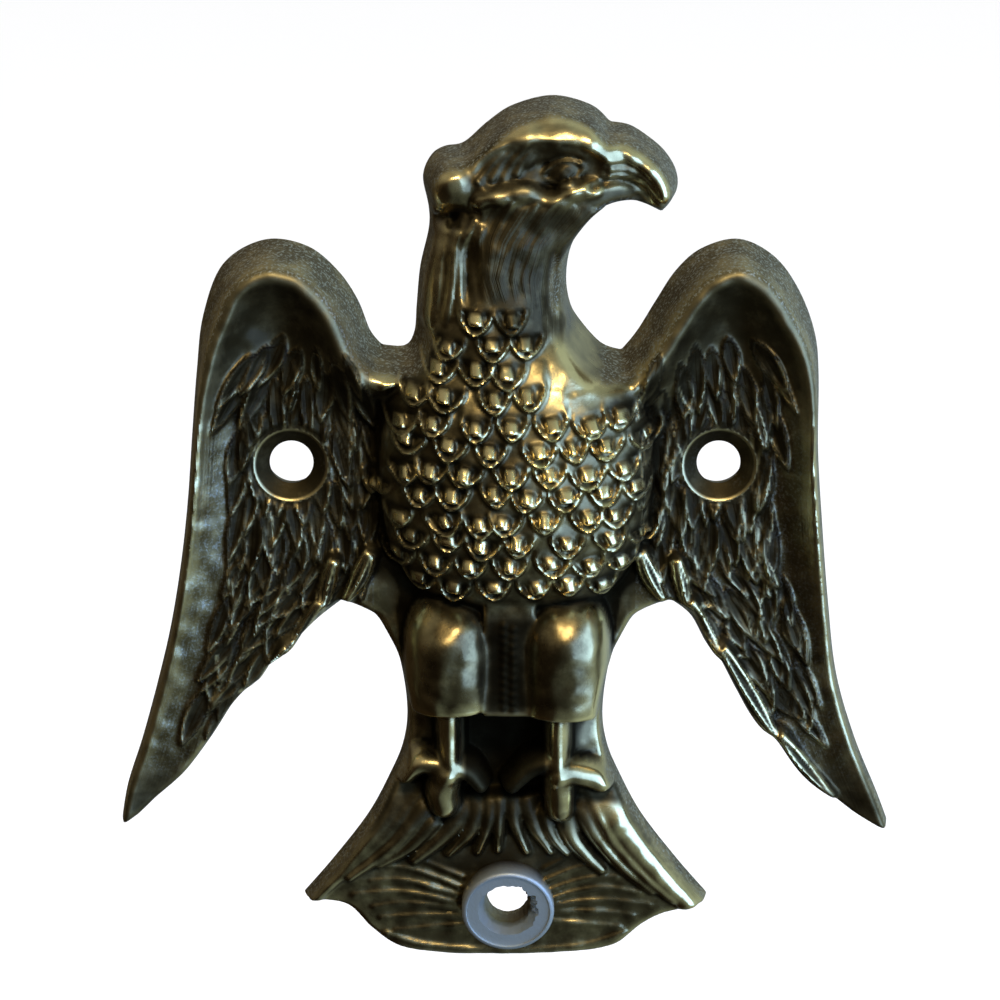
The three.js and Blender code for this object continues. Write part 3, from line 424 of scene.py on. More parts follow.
# The neck's plumage
# Long fine strands fall from the cheek in a slow curve to the first scales. Each is a ridge
# that thins to its end, pressed into the wax with a modelling tool.

STRANDS = 22
STRAND_R = 0.42
STRAND_LIFT = 0.36
HAIR_TOP = 35.0
HAIR_END = 16.0
HAIR_LANE = 3.4  # width between two guides
HAIR_GUIDES = [
    [(-2.4, 34.6), (-3.6, 31.0), (-3.4, 26.0), (-2.0, 21.6)],
    [(3.4, 34.8), (0.2, 30.0), (-1.0, 25.6), (0.4, 21.0)],
    [(7.4, 34.8), (4.0, 29.8), (2.7, 25.4), (3.2, 21.0)],
    [(11.2, 33.6), (7.2, 29.4), (6.2, 24.8), (6.8, 19.6)],
]
rng = np.random.default_rng(11)


def add_ridge(path, radius, lift, power=0.7):
    """Raise a ridge along a path above what is there, thinning to its end."""
    np.maximum(carved, limb(path, radius, 0, lift, 0.5, power), out=carved)


guides = np.array(HAIR_GUIDES)
for row, z in enumerate(zs):
    lanes = [np.interp(-z, -guide[:, 1], guide[:, 0]) for guide in guides]
    comb[row] = np.interp(xs, lanes, HAIR_LANE * np.arange(len(guides)))
hair = smoothstep(comb, 0.0, 1.0) * smoothstep(-X, -12, -9)
hair *= smoothstep(Z, HAIR_END, HAIR_END + 3) * smoothstep(-Z, -HAIR_TOP, 2 - HAIR_TOP)
combed[:] = hair
for i in range(STRANDS):
    place = i / (STRANDS - 1) * (len(guides) - 1)
    whole = min(int(place), len(guides) - 2)
    path = mix(guides[whole], guides[whole + 1], place - whole)
    path = path + np.array([[0, 0.4], [0.14, 0], [0.2, 0], [0.25, 0.9]]) * rng.normal(0, 1, (4, 2))
    lift = STRAND_LIFT * rng.uniform(0.55, 1.2)
    add_ridge(path, (STRAND_R, STRAND_R * 0.8), (lift, lift * 0.8))
# Longer tufts hang behind them, and low bands run down the nape.
TUFTS = [
    [(-5.2, 32.8), (-6.4, 29.0), (-6.8, 24.0), (-7.6, 19.6)],
    [(-4.0, 32.6), (-5.2, 29.0), (-5.4, 25.0), (-5.6, 21.4)],
    [(-3.0, 31.6), (-4.2, 28.0), (-4.0, 24.6), (-3.6, 21.8)],
]
for path in TUFTS:
    add_ridge(path, (0.7, 0.5), (0.7, 0.5))
add_ridge([(-8.2, 32.6), (-9.0, 28.0), (-9.6, 22.0), (-10.6, 16.4)], (1.5, 1.3), (0.9, 0.6), 0.5)

# The scales of the chest
# Rows of small tongues lie over one another like tiles. Each has a lip round its tip and a
# pearl inside it, struck with punches after casting, so no two are quite alike.

SCALE_ROWS = 14
FIRST_ROW = 24.4
SCALE_COLUMN = 4.6
SCALE_ROW = 3.1
SCALE_LENGTH = 6.2
SCALE_WIDTH = 4.8
SCALE_LIFT = 1.25
SCALED_HALF = (16.7, 18.5)  # half size of the part that has scales
SCALED_END = -14.4
BARE_SHOULDER = (4, 10)  # right of and above this there are none
NARROWING = 0.5  # the share of its length at which a scale starts to narrow
SCALE_POWER = 1.65  # 2 is a round tip, and less a pointed one
LIP = 0.3  # distance of the lip's crest from the scale's edge
LIP_HALF = 0.27
LIP_LIFT = 0.55
DISH = 0.7  # depth inside the lip
PEARL_SHARE = 0.66  # place of the pearl along the scale
PEARL_HALF = (0.95, 1.1)
PEARL_RISE = 0.25
PEARL_LEAN = 0.52  # its face leans up, so that it catches the light
SCALE_SHIFT = 0.34  # how far a scale is out of its row, and how far it is turned
SCALE_TURN = 0.13
SCALE_DIRT_AND_SHADE = 0.95


def blade_window(root, angle, length, width):
    """The part of the grid round a blade, the share along it and the distance across it."""
    direction = (math.sin(angle), -math.cos(angle))
    centre = (root[0] + direction[0] * length / 2, root[1] + direction[1] * length / 2)
    area = window(*centre, length / 2 + width / 2)
    x, z = X[area] - root[0], Z[area] - root[1]
    share = (x * direction[0] + z * direction[1]) / length
    across = z * direction[0] - x * direction[1]
    return area, share, across


rng = np.random.default_rng(7)
for row in range(SCALE_ROWS):
    z = FIRST_ROW - row * SCALE_ROW
    for column in range(-5, 6):
        x = 0.8 + (column + (row % 2) / 2) * SCALE_COLUMN * (0.9 if row < 3 else 1)
        tip = z - 3.4
        spread = abs((x - 1.3) / SCALED_HALF[0]) ** 2.4 + abs((tip + 0.2) / SCALED_HALF[1]) ** 2.4
        on_neck = tip > 12 and abs(x + 0.8) < mix(9, 6, (tip - 12) / 8)
        if (spread >= 1 or tip < SCALED_END) and not on_neck:
            continue
        jitter = rng.normal(0, 1, 9)
        if x > BARE_SHOULDER[0] and tip > BARE_SHOULDER[1]:
            continue
        root = (x + SCALE_SHIFT * jitter[0], z + SCALE_SHIFT * jitter[1])
        angle = (x - 1.2) * 0.012 + SCALE_TURN * jitter[2]
        wide = SCALE_WIDTH * (1 + 0.06 * jitter[4])
        area, share, across = blade_window(root, angle, SCALE_LENGTH, wide)
        past = np.maximum(0, share - NARROWING) / (1 - NARROWING)
        beyond = np.abs(2 * across / wide) ** SCALE_POWER + past**SCALE_POWER
        inner = (1 - beyond ** (1 / SCALE_POWER)) * wide / 2
        ramp = 0.15 + SCALE_LIFT * np.clip(share, 0, 1) ** 1.6
        lip = LIP_LIFT * bell(inner, LIP, LIP_HALF) * smoothstep(share, 0.35, 0.6)
        dish = DISH * smoothstep(inner, 0.35, 0.8) * smoothstep(share, 0.42, 0.62)
        down = (share - PEARL_SHARE - 0.025 * jitter[5]) * SCALE_LENGTH
        half, half_long = PEARL_HALF
        aside = (across - 0.15 * jitter[6] - 0.12 * down) / (half * (1 + 0.12 * jitter[7]))
        lean = PEARL_LEAN + 0.1 * jitter[8]
        face = PEARL_RISE + dish + lean * (down + half_long)
        rounding = np.clip(1 - aside**4, 0, 1) ** 0.5
        rounding = rounding * smoothstep(down, -half_long - 0.2, 0.3 - half_long)
        pearl = face * rounding * smoothstep(half_long * (1 + 0.1 * jitter[3]) - down, 0, 0.5)
        scale = ramp * smoothstep(inner, 0, 0.3) + np.maximum(lip, pearl) - dish
        on_lip = bell(inner, LIP, 0.24) * smoothstep(share, 0.4, 0.65)
        on_pearl = smoothstep(pearl - dish, 0.25, 0.6) * rounding
        # Dirt with painted shade lies round each pearl and inside its lip; the rubbed pearl and
        # lip are dimmed towards the chest's lower left as painted shade.
        dirt_and_shade = SCALE_DIRT_AND_SHADE * (1 - on_pearl) * (1 - on_lip) * smoothstep(share, 0.2, 0.5)
        shine = mix(0.6, 1.0, max(smoothstep(x, -12, -3), smoothstep(z, 4, 12)))
        shine = shine * np.maximum(on_lip, on_pearl)
        lay(area, np.where((inner > 0) & (share > 0), scale, 0), dirt_and_shade, shine)

# The feathers of the wings
# Small pointed leaves lie in rows down each wing, every second one half a row lower. Each has
# raised edges that meet in its point, and fine cuts along it, made in the wax by hand.

WING_INNER = [
    (19.6, 16.0), (16.8, 8.0), (16.4, -2.0), (16.8, -12.0), (23.6, -18.8), (29.8, -25.6),
    (35.2, -33.2), (40.8, -40.4), (44.8, -45.8), (49.6, -50.4),
]
WING_OUTER = [
    (30.0, 18.6), (34.4, 12.0), (35.2, 2.0), (35.4, -8.0), (36.6, -18.0), (38.4, -27.0),
    (41.4, -36.0), (44.2, -42.0), (46.4, -45.6), (49.9, -50.4),
]
FEATHER_ROWS = 20
FEATHER_LENGTH = 8.4
FEATHER_WIDTH = 2.4
FEATHER_LIFT = 1.1
FEATHER_PITCH = 2.05
FEATHER_TILT = 0.22
FEATHERS_END = -33.0  # below this each wing tip is bare
FEATHER_LIP = 0.42
FEATHER_LIP_AT = 0.28  # distance of the raised edge's crest from the feather's edge
FEATHER_DIP = 0.25
FEATHER_SHIFT = 0.35
FEATHER_TURN = 0.09
FEATHER_WAVE = 0.12  # the turn that comes and goes along the rows
FEATHER_VARY = 0.13  # share by which lengths and widths differ
FEATHER_BEND = 0.55
FEATHER_DIRT = 0.9
FEATHER_SHINE = 0.36
AHEAD = 0.01  # share of the wing over which a direction is taken


def lay_feather(root, angle, length, width, lift, bend, tilt, sharp):
    """Lay one feather, whose tip bends aside and whose face tilts. One edge is sharper."""
    area, share, across = blade_window(root, angle, length, width + abs(bend))
    across = across - bend * np.clip(share, 0, 1) ** 2
    half = width / 2 * np.sin(np.pi * np.clip(share, 0, 1) ** 0.85) ** 0.8
    to_edge = half - np.abs(across)
    ramp = lift * (0.3 + 0.4 * np.clip(share, 0, 1))
    strength = mix(0.25, 1.0, smoothstep(across * sharp, -0.5, 0.3))
    lips = FEATHER_LIP * strength * bell(to_edge, FEATHER_LIP_AT, 0.24)
    lips = lips * smoothstep(share, 0.2, 0.5)
    dip = FEATHER_DIP * smoothstep(to_edge, 0.3, 0.7)
    leaf = (ramp + tilt * across) * smoothstep(to_edge, 0, 0.25) + lips - dip
    leaf = np.where((to_edge > 0) & (share > 0) & (share < 1), leaf, 0)
    on_lip = bell(to_edge, FEATHER_LIP_AT, 0.22) * smoothstep(share, 0.3, 0.6)
    dirt_and_shade, shine = FEATHER_DIRT * (1 - on_lip * strength), FEATHER_SHINE * on_lip * strength
    lay(area, leaf, dirt_and_shade, shine, across)


def wing_point(guides, row_share, across):
    """A place on the wing and the direction of its feathers there."""
    places = []
    for share in (row_share, row_share + AHEAD):
        a, b = (curve[min(len(curve) - 1, int(share * (len(curve) - 1)))] for curve in guides)
        places.append(a + (b - a) * across)
    return places[0], places[1] - places[0]


rng = np.random.default_rng(3)
for side in (1, -1):
    guides = [
        spline([(side * x, z) for x, z in points], 0.05) for points in (WING_INNER, WING_OUTER)
    ]
    for row in range(FEATHER_ROWS):
        start = (row + 0.2) / (FEATHER_ROWS + 1)
        width = np.linalg.norm(wing_point(guides, start, 1)[0] - wing_point(guides, start, 0)[0])
        count = max(1, round(width / FEATHER_PITCH))
        for i in range(count):
            share = min(0.98, start + (i % 2) * 0.5 / (FEATHER_ROWS + 1))
            root, run = wing_point(guides, share, min(0.92, max(0.08, (i + 0.5) / count)))
            jitter = rng.normal(0, 1, 9)
            if root[1] < FEATHERS_END:
                continue
            angle = math.atan2(run[0], -run[1]) + FEATHER_WAVE * math.sin(row * 2.3 + i * 1.7)
            angle += FEATHER_TURN * jitter[0]
            root = root + FEATHER_SHIFT * jitter[1:3]
            length = FEATHER_LENGTH * (1 + FEATHER_VARY * jitter[3])
            width = FEATHER_WIDTH * (1 + FEATHER_VARY * jitter[4])
            lift = FEATHER_LIFT * (1 + 0.25 * jitter[5])
            bend, tilt = FEATHER_BEND * jitter[6], FEATHER_TILT * jitter[7]
            lay_feather(root, angle, length, width, lift, bend, tilt, math.copysign(1, jitter[8]))

# The long feathers of the trailing edge
# A few long feathers overlap along the back edge of each wing like the strands of a rope,
# each with raised cords along it.

TRAILING = [
    ((17.4, -11.4), (18.6, -14.6), (20.6, -18.0), 1.5),
    ((22.0, -12.4), (22.9, -16.0), (23.6, -19.4), 1.3),
    ((23.8, -18.2), (25.3, -21.6), (27.9, -25.4), 1.6),
    ((28.0, -24.6), (31.2, -30.4), (35.5, -37.0), 1.9),
    ((35.8, -36.8), (38.8, -41.0), (43.0, -45.2), 1.8),
]
TRAILING_LIFT = (1.7, 1.4)
CORDS = 3  # on each feather
CORD_R = 0.4
CORD_LIFT = 0.6
CORD_SHINE = 0.9

for side in (1, -1):
    for *path, radius in TRAILING:
        points = np.array([(side * x, z) for x, z in path])
        run = points[-1] - points[0]
        aside = np.array([-run[1], run[0]]) / np.linalg.norm(run)
        rod = limb(points, (radius, radius * 0.5), 0, TRAILING_LIFT, 0.4)
        ridged = rod
        on_cord = np.zeros(X.shape)
        for i in range(CORDS):
            shift = aside * (i - (CORDS - 1) / 2) * radius * 0.62
            cord = points + np.array([shift * 0.6, shift * 1.1, shift * 0.3])
            ridge = (rod > 0) * limb(cord, (CORD_R, CORD_R * 0.8), 0, (CORD_LIFT, CORD_LIFT), 0.4)
            ridged = np.maximum(ridged, rod + ridge)
            on_cord = np.maximum(on_cord, smoothstep(ridge, 0.5 * CORD_LIFT, CORD_LIFT))
        lay(..., ridged, FEATHER_DIRT * (1 - on_cord), CORD_SHINE * on_cord)

# The legs and feet
# Short round shanks come down from under the thighs, and each foot spreads three toes over
# the root of the tail.

LEG = 9.8
SHANKS = [[(-7.2, -31.5), (-7.1, -40.6)], [(6.9, -32.0), (6.9, -41.0)]]
SHANK_R = (2.1, 1.9)
ANKLES = [(-7.6, -40.6), (7.0, -40.8)]
ANKLE_HALF = (2.5, 2.3)
TOE_POWER = 0.36  # a toe is broader on top than a round one
TOES = [
    ([(-8.4, -39.6), (-10.8, -39.2), (-13.0, -40.8)], (2.0, 1.6)),
    ([(-6.4, -39.6), (-4.6, -40.6), (-3.2, -42.6)], (1.7, 1.1)),
    ([(-7.8, -41.4), (-8.2, -43.6), (-8.0, -45.4)], (2.3, 1.8)),
    ([(6.0, -39.0), (3.4, -40.0), (0.9, -42.6)], (1.8, 1.2)),
    ([(8.0, -40.4), (10.4, -41.0), (12.6, -42.0)], (2.0, 1.6)),
    ([(7.0, -41.6), (7.1, -44.4), (7.2, -46.2)], (2.1, 1.6)),
]
WEB_FOOT = 6.5  # the web starts to fall this far from the middle
VOID = 1.6  # depth of the place between the legs
BEADS = 11
BEAD_PITCH = 1.1
BEAD_R = 0.52
BEAD_LIFT = 0.3

legs = np.zeros(X.shape)
for path in SHANKS:
    legs = smooth_max(legs, limb(path, SHANK_R, FIELD - 1, (LEG + 1.2, LEG + 0.6)), 0.6)
for at in ANKLES:
    legs = smooth_max(legs, dome(at, ANKLE_HALF, FIELD, LEG + 1.0), 0.8)
for path, (start, end) in TOES:
    radius = (start * 1.1, end * 1.2)
    toe = limb(path, radius, FIELD - 1, (LEG + 0.3, LEG - 0.8), 0.5, TOE_POWER)
    legs = smooth_max(legs, toe, 0.8)
# A web of metal backs each leg and falls away to the plaque's edge.
beside = SIDE - WEB_FOOT
web_share = smoothstep(beside, -0.5, 0.5) * smoothstep(-beside, -12.5, -11.5)
web_share *= smoothstep(Z, -45.5, -43.0) * smoothstep(-Z, 29.0, 30.0)
web = mix(LEG - 2.2, FIELD - 0.5, np.clip(beside / 6.0, 0, 1) ** 1.2)
body = np.maximum(body, mix(ground, web, web_share))
# The place between the legs is deep and dark.
void = smoothstep(-SIDE, -6.0, -5.0) * smoothstep(Z, -44.8, -44.0) * smoothstep(-Z, 31.6, 32.4)
body = body - VOID * void
between = smoothstep(-SIDE, -6.5, -5.0) * smoothstep(Z, -46.5, -44.5) * (Z < -31.6) * (legs < body)
# Beads down the middle of the belly.
beads = np.zeros(X.shape)
for i in range(BEADS):
    for j in (0, 1):
        at = (BELLY_X - 0.8 + j * 1.2, -19.4 - i * BEAD_PITCH - 0.5 * j)
        area = window(*at, 1.5 * BEAD_R)
        away = np.hypot(X[area] - at[0], Z[area] - at[1]) / BEAD_R
        beads[area] = np.maximum(beads[area], BEAD_LIFT * np.sqrt(np.clip(1 - away**2, 0, 1)))
carved = np.where((thighs < body) & (Z < -18.6) & (Z > -31.0), np.maximum(carved, beads), carved)

# The tail
# Long feathers sweep out from under the feet, and curled leaves lie beside the screw boss.
# They were carved in the pattern, so they are as soft as the sand leaves them.

RIGHT_TAIL = [
    ([(13.0, -45.2), (16.4, -51.4), (24.4, -60.6)], 2.1),
    ([(11.8, -45.6), (14.2, -50.8), (18.4, -56.0), (22.4, -59.8)], 1.2),
    ([(10.0, -46.2), (12.0, -50.2), (15.6, -54.8), (19.6, -58.4)], 1.2),
    ([(7.9, -47.6), (9.2, -51.4), (12.8, -55.4)], 1.3),
    ([(2.9, -45.6), (4.0, -49.4), (6.0, -52.8)], 1.0),
    ([(0.9, -45.4), (1.5, -49.2), (2.9, -52.8)], 0.9),
    ([(5.2, -47.2), (6.2, -50.4), (8.2, -53.0)], 0.9),
]
LEFT_TAIL = [
    ([(-13.2, -44.8), (-17.8, -51.0), (-25.4, -59.6)], 1.7),
    ([(-12.2, -45.4), (-16.6, -51.2), (-24.2, -58.4)], 1.3),
    ([(-10.8, -46.6), (-14.4, -51.4), (-20.6, -56.4)], 1.2),
    ([(-9.6, -48.4), (-12.4, -51.8), (-16.6, -54.6)], 1.1),
    ([(-5.6, -46.8), (-8.0, -50.4), (-12.0, -54.0)], 1.3),
    ([(-3.6, -46.2), (-4.6, -49.8), (-7.4, -53.0)], 1.1),
    ([(-2.0, -45.8), (-2.4, -49.2), (-3.6, -52.8)], 0.9),
    ([(-0.7, -45.4), (-0.8, -48.8), (-0.9, -52.6)], 0.8),
]
RIGHT_LEAVES = [
    ([(7.4, -55.4), (8.2, -53.8), (9.6, -53.2)], 0.5),
    ([(7.9, -57.0), (9.2, -55.4), (11.2, -54.8)], 0.6),
    ([(8.2, -58.6), (11.0, -56.8), (15.0, -56.6)], 0.7),
    ([(8.4, -59.8), (12.4, -58.2), (18.2, -58.9)], 0.8),
    ([(8.4, -60.8), (12.6, -60.0), (19.4, -60.6)], 0.8),
    ([(8.2, -61.8), (12.0, -61.6), (17.2, -62.2)], 0.8),
    ([(7.6, -62.9), (10.6, -63.4), (15.4, -63.9)], 0.8),
]
LEFT_LEAVES = [
    ([(-8.0, -56.6), (-9.6, -54.8), (-12.6, -53.6)], 0.7),
    ([(-8.6, -58.0), (-11.4, -55.8), (-15.6, -55.0)], 0.7),
    ([(-9.0, -59.2), (-12.8, -57.2), (-17.8, -57.2)], 0.8),
    ([(-9.2, -60.2), (-13.6, -58.8), (-20.2, -59.2)], 0.8),
    ([(-8.4, -61.2), (-12.4, -60.4), (-17.6, -61.0)], 0.8),
    ([(-8.0, -62.2), (-11.6, -62.2), (-16.6, -62.6)], 0.8),
    ([(-7.2, -63.4), (-10.4, -64.0), (-14.6, -64.4)], 0.8),
]
FOOT_EDGE = [
    (-15.8, -64.8), (-11.0, -66.4), (-6.0, -67.0), (0.0, -67.3), (7.0, -67.0), (12.0, -66.2),
    (16.0, -64.6),
]
FOOT_EDGE_R = 0.8
TAIL_LIFT = 1.9
TAIL_R = (1.35, 0.6)  # a feather's radius at its root and end, as shares of the one above
LEAF_LIFT = 0.45
LEAF_R = (0.7, 0.4)
LEAF_ROOT = 0.7  # the leaves start under the boss, this share of their place to the side
TAIL_TOP = -42  # nothing of it is laid higher

rng = np.random.default_rng(5)
tail = np.zeros(X.shape)
for path, radius in RIGHT_TAIL + LEFT_TAIL:
    lift = TAIL_LIFT * rng.uniform(0.8, 1.1)
    feather = limb(path, (radius * TAIL_R[0], radius * TAIL_R[1]), 0, (lift, lift * 0.7), 0.5)
    tail = np.maximum(tail, feather * smoothstep(-Z, 42.0, 49.0))
for path, _ in RIGHT_LEAVES + LEFT_LEAVES:
    path[0] = (path[0][0] * LEAF_ROOT, path[0][1])
for path, radius in RIGHT_LEAVES + LEFT_LEAVES + [(FOOT_EDGE, FOOT_EDGE_R)]:
    leaf_r = (radius * LEAF_R[0], radius * LEAF_R[1])
    leaf = limb(path, leaf_r, 0, (LEAF_LIFT, LEAF_LIFT * 0.6), 0.4, 0.7)
    tail = np.maximum(tail, leaf)
carved = np.where(Z < TAIL_TOP, np.maximum(carved, tail), carved)

# The relief
# The forms, the carving on them, the flat pads round the wing screws and the leaning wall
# come together here as one height over the wall. A slight blur is the softness of the sand.

WING_PAD_R = 5.3
WING_PAD_LIFT = 0.3
WING_SCREW_X = 27.4
FACE_FOOT = 18  # the face and the nape lie above this height
FILED_DEPTH = (0.5, 0.8)  # of the filed edge, at the sides and on the crown and shoulders
FILED_WIDTH = (0.7, 1.15)
WALL_ROUND = 0.6
SAND_BLUR = 0.18
UNEVEN = 0.06  # the usual depth of the unevenness, and its radius
UNEVEN_R = 0.7
UNCARVED = 0.05  # a carving lower than this counts as none
BAND_CUTS = 0.25
OUTSIDE = -2.0  # the height kept outside the outline, below the cut

front = body + carved
face = np.maximum(front - socket + tufts, np.maximum(brow, cheek))
face = face - nape_hollow + eyeball + eyelid - pupil - mouth
front = np.maximum(np.where(Z > FACE_FOOT, face, front), legs)
# The wall's top edge is rounded over by filing, broadly on the crown and the wings' shoulders.
broad = (1 - side_share) * smoothstep(Z, -6, 16)
filed_depth, filed_width = mix(*FILED_DEPTH, broad), mix(*FILED_WIDTH, broad)
past_wall = np.clip((inset - (front - filed_depth) / wall_slope) / filed_width, 0, 1)
rounded = front - filed_depth * (1 - past_wall) ** 2
relief = smooth_min(rounded, inset * wall_slope, WALL_ROUND)
# The pattern was carved by hand, so no surface is quite even.
uneven = blur(np.random.default_rng(23).normal(0, 1, X.shape), UNEVEN_R)
uneven *= UNEVEN / uneven.std() * (1 + 1.2 * smoothstep(Z, 24, 32)) * smoothstep(relief, 1.0, 4.0)
relief = relief + uneven
from_screw = np.hypot(SIDE - WING_SCREW_X, Z)
relief = mix(FIELD + WING_PAD_LIFT, relief, smoothstep(from_screw, WING_PAD_R, WING_PAD_R + 0.3))
relief = np.clip(blur(relief, SAND_BLUR), OUTSIDE, None)
# The bare band behind each wing's front edge was scraped along it.
bare_band = on_wing * blur((carved < UNCARVED).astype(float), 0.5) * (SIDE > BODY_HALF - 2)
comb = np.where(bare_band > 0.3, edge, comb)
combed = np.maximum(combed, BAND_CUTS * bare_band * smoothstep(-Z, -10, -2))
combed = combed * (from_screw > WING_PAD_R)

# The back
# The back is hollowed to save metal. It leaves a flat rim along the edge and a flat pad round
# each screw, which rest on the wall.

BACK_RIM = 3.4
RECESS = 1.8
RECESS_SLOPE = 2.0
PAD_R = 6.4
BOSS_X, BOSS_Z = 0.4, -60.4
BACK_STEP = 4  # the back needs only every fourth point of the grid
BACK_OUTSIDE = -0.6  # height of the rim's sheet, below the cut
WELD = 1e-7  # in metres

from_boss = np.hypot(X - BOSS_X, Z - BOSS_Z)
shelf = np.minimum(inset - BACK_RIM, np.minimum(from_screw, from_boss) - PAD_R)
recess = np.clip(blur(shelf, 0.5) * RECESS_SLOPE, BACK_OUTSIDE, RECESS)


def to_mesh(bm, name):
    mesh = bpy.data.meshes.new(name)
    bm.to_mesh(mesh)
    bm.free()
    return mesh


def put(name, data):
    """Put a new object in the scene."""
    thing = bpy.data.objects.new(name, data)
    bpy.context.scene.collection.objects.link(thing)
    return thing


def cut_sheet(heights, every=1):
    """A sheet of faces raised to the heights, and cut off flat where it meets the wall."""
    part = heights[::every, ::every]
    rows, columns = part.shape
    bm = bmesh.new()
    bmesh.ops.create_grid(bm, x_segments=columns - 1, y_segments=rows - 1, size=1.0)
    sheet = to_mesh(bm, "sheet")
    flat = np.empty(len(sheet.vertices) * 3)
    sheet.vertices.foreach_get("co", flat)
    flat = flat.reshape(-1, 3)
    column = np.rint((flat[:, 0] + 1) / 2 * (columns - 1)).astype(int)
    row = np.rint((flat[:, 1] + 1) / 2 * (rows - 1)).astype(int)
    placed = np.column_stack([xs[column * every], -part[row, column], zs[row * every]]) * MM
    sheet.vertices.foreach_set("co", placed.ravel())
    bm = bmesh.new()
    bm.from_mesh(sheet)
    everything = bm.verts[:] + bm.edges[:] + bm.faces[:]
    bmesh.ops.bisect_plane(
        bm, geom=everything, dist=WELD, plane_co=(0, 0, 0), plane_no=(0, 1, 0), clear_outer=True
    )
    bm.to_mesh(sheet)
    bm.free()
    return sheet


bm = bmesh.new()
for sheet in (cut_sheet(relief), cut_sheet(recess, BACK_STEP)):
    bm.from_mesh(sheet)
    bpy.data.meshes.remove(sheet)
wall_edges = [edge for edge in bm.edges if edge.is_boundary]
bmesh.ops.triangle_fill(bm, use_beauty=True, edges=wall_edges, normal=(0, 1, 0))
bmesh.ops.triangulate(bm, faces=bm.faces[:])
bmesh.ops.recalc_face_normals(bm, faces=bm.faces[:])
casting = put("cast_eagle", to_mesh(bm, "cast_eagle"))

# The screw holes
# The wings have plain countersunk holes, drilled after casting. The tail's boss is a round
# collar whose face leans down a little, with a cored hole that widens to a broken edge.

SCREW_HOLE_R = 2.8
COUNTERSINK_R = 4.7
HOLE_FLARE = 0.8  # the hole opens a little towards the wall
COUNTERSINK_LIP = 0.3
BOSS = 7.3
BOSS_R = 6.1
BOSS_HOLE_R = 4.0
BOSS_TILT = 0.26
BOSS_RIM = (0.6, 0.25)  # width and height of the step round its face
BOSS_SIDE = 5  # only what is higher tilts
BREAK_AT = math.radians(25)  # where the cored hole broke out most
BREAK = (0.015, 0.07)  # share of its radius, everywhere and there
ROUND_SIDES = 96
TOOL_TOP = 12.0  # above every form that a tool passes
SHARP = math.radians(50)


def join_or_cut(target, bm, operation):
    """Join a turned solid to the casting, or cut it away."""
    tool = put("tool", to_mesh(bm, "tool"))
    modifier = target.modifiers.new("shape", "BOOLEAN")
    modifier.operation = operation
    modifier.object = tool
    modifier.solver = "EXACT"
    graph = bpy.context.evaluated_depsgraph_get()
    shaped = bpy.data.meshes.new_from_object(target.evaluated_get(graph))
    target.modifiers.clear()
    target.data = shaped
    bpy.data.objects.remove(tool)


def turned(x, z, rings):
    """A solid turned about a screw's axis, from the (radius, height) of its edges."""
    bm = bmesh.new()
    profile = [(0, rings[0][1]), *rings, (0, rings[-1][1])]
    points = [bm.verts.new(((x + out) * MM, -up * MM, z * MM)) for out, up in profile]
    lines = [bm.edges.new(pair) for pair in zip(points, points[1:])]
    bmesh.ops.spin(
        bm, geom=points + lines, cent=(x * MM, 0, z * MM), axis=(0, 1, 0), angle=math.tau,
        steps=ROUND_SIDES, use_merge=True,
    )
    bmesh.ops.remove_doubles(bm, verts=bm.verts[:], dist=WELD)
    bmesh.ops.recalc_face_normals(bm, faces=bm.faces[:])
    return bm


pad = FIELD + WING_PAD_LIFT
for side in (-1, 1):
    hole = turned(side * WING_SCREW_X, 0, [
        (SCREW_HOLE_R + HOLE_FLARE, -1.0),
        (SCREW_HOLE_R, pad - COUNTERSINK_R + SCREW_HOLE_R),
        (COUNTERSINK_R - 0.35, pad - 0.35),
        (COUNTERSINK_R + COUNTERSINK_LIP, pad + COUNTERSINK_LIP),
        (COUNTERSINK_R + COUNTERSINK_LIP, TOOL_TOP),
    ])
    join_or_cut(casting, hole, "DIFFERENCE")
boss = turned(BOSS_X, BOSS_Z, [
    (BOSS_R + 0.1, 1.0),
    (BOSS_R, BOSS - 0.5),
    (BOSS_R - 0.12, BOSS - 0.18),
    (BOSS_R - 0.35, BOSS),
    (BOSS_R - BOSS_RIM[0] + 0.04, BOSS),
    (BOSS_R - BOSS_RIM[0] - 0.04, BOSS - BOSS_RIM[1]),
])
for vert in boss.verts:
    if vert.co.y < -BOSS_SIDE * MM:
        vert.co.y -= (vert.co.z - BOSS_Z * MM) * BOSS_TILT
join_or_cut(casting, boss, "UNION")
hole = turned(BOSS_X, BOSS_Z, [
    (SCREW_HOLE_R, -1.0), (SCREW_HOLE_R, 2.0), (3.0, 3.4), (3.3, 4.6), (3.6, 5.6), (3.9, 6.6),
    (BOSS_HOLE_R, 7.6), (BOSS_HOLE_R + 0.2, TOOL_TOP),
])
# The cored hole broke out roughly, most of all at its upper right.
for vert in hole.verts:
    x, height, z = (vert.co.x / MM - BOSS_X, -vert.co.y / MM, vert.co.z / MM - BOSS_Z)
    if height < 1 or math.hypot(x, z) < 1:
        continue
    around = math.atan2(z, x)
    broken = BREAK[0] + BREAK[1] * max(0, math.cos(around - BREAK_AT)) ** 2
    ripple = math.sin(9 * around + 2.1 * height) + 0.7 * math.sin(23 * around - 3.3 * height)
    vert.co.x += x * MM * broken * ripple
    vert.co.z += z * MM * broken * ripple
join_or_cut(casting, hole, "DIFFERENCE")
mesh = casting.data
mesh.name = "cast_eagle"
mesh.set_sharp_from_angle(angle=SHARP)
# The rim that rests on the wall is ground flat. All else is smooth.
centres = np.empty(len(mesh.polygons) * 3)
mesh.polygons.foreach_get("center", centres)
mesh.polygons.foreach_set("use_smooth", centres[1::3] < -0.001 * MM)
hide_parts("eagle_plaque")
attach(casting, "root")
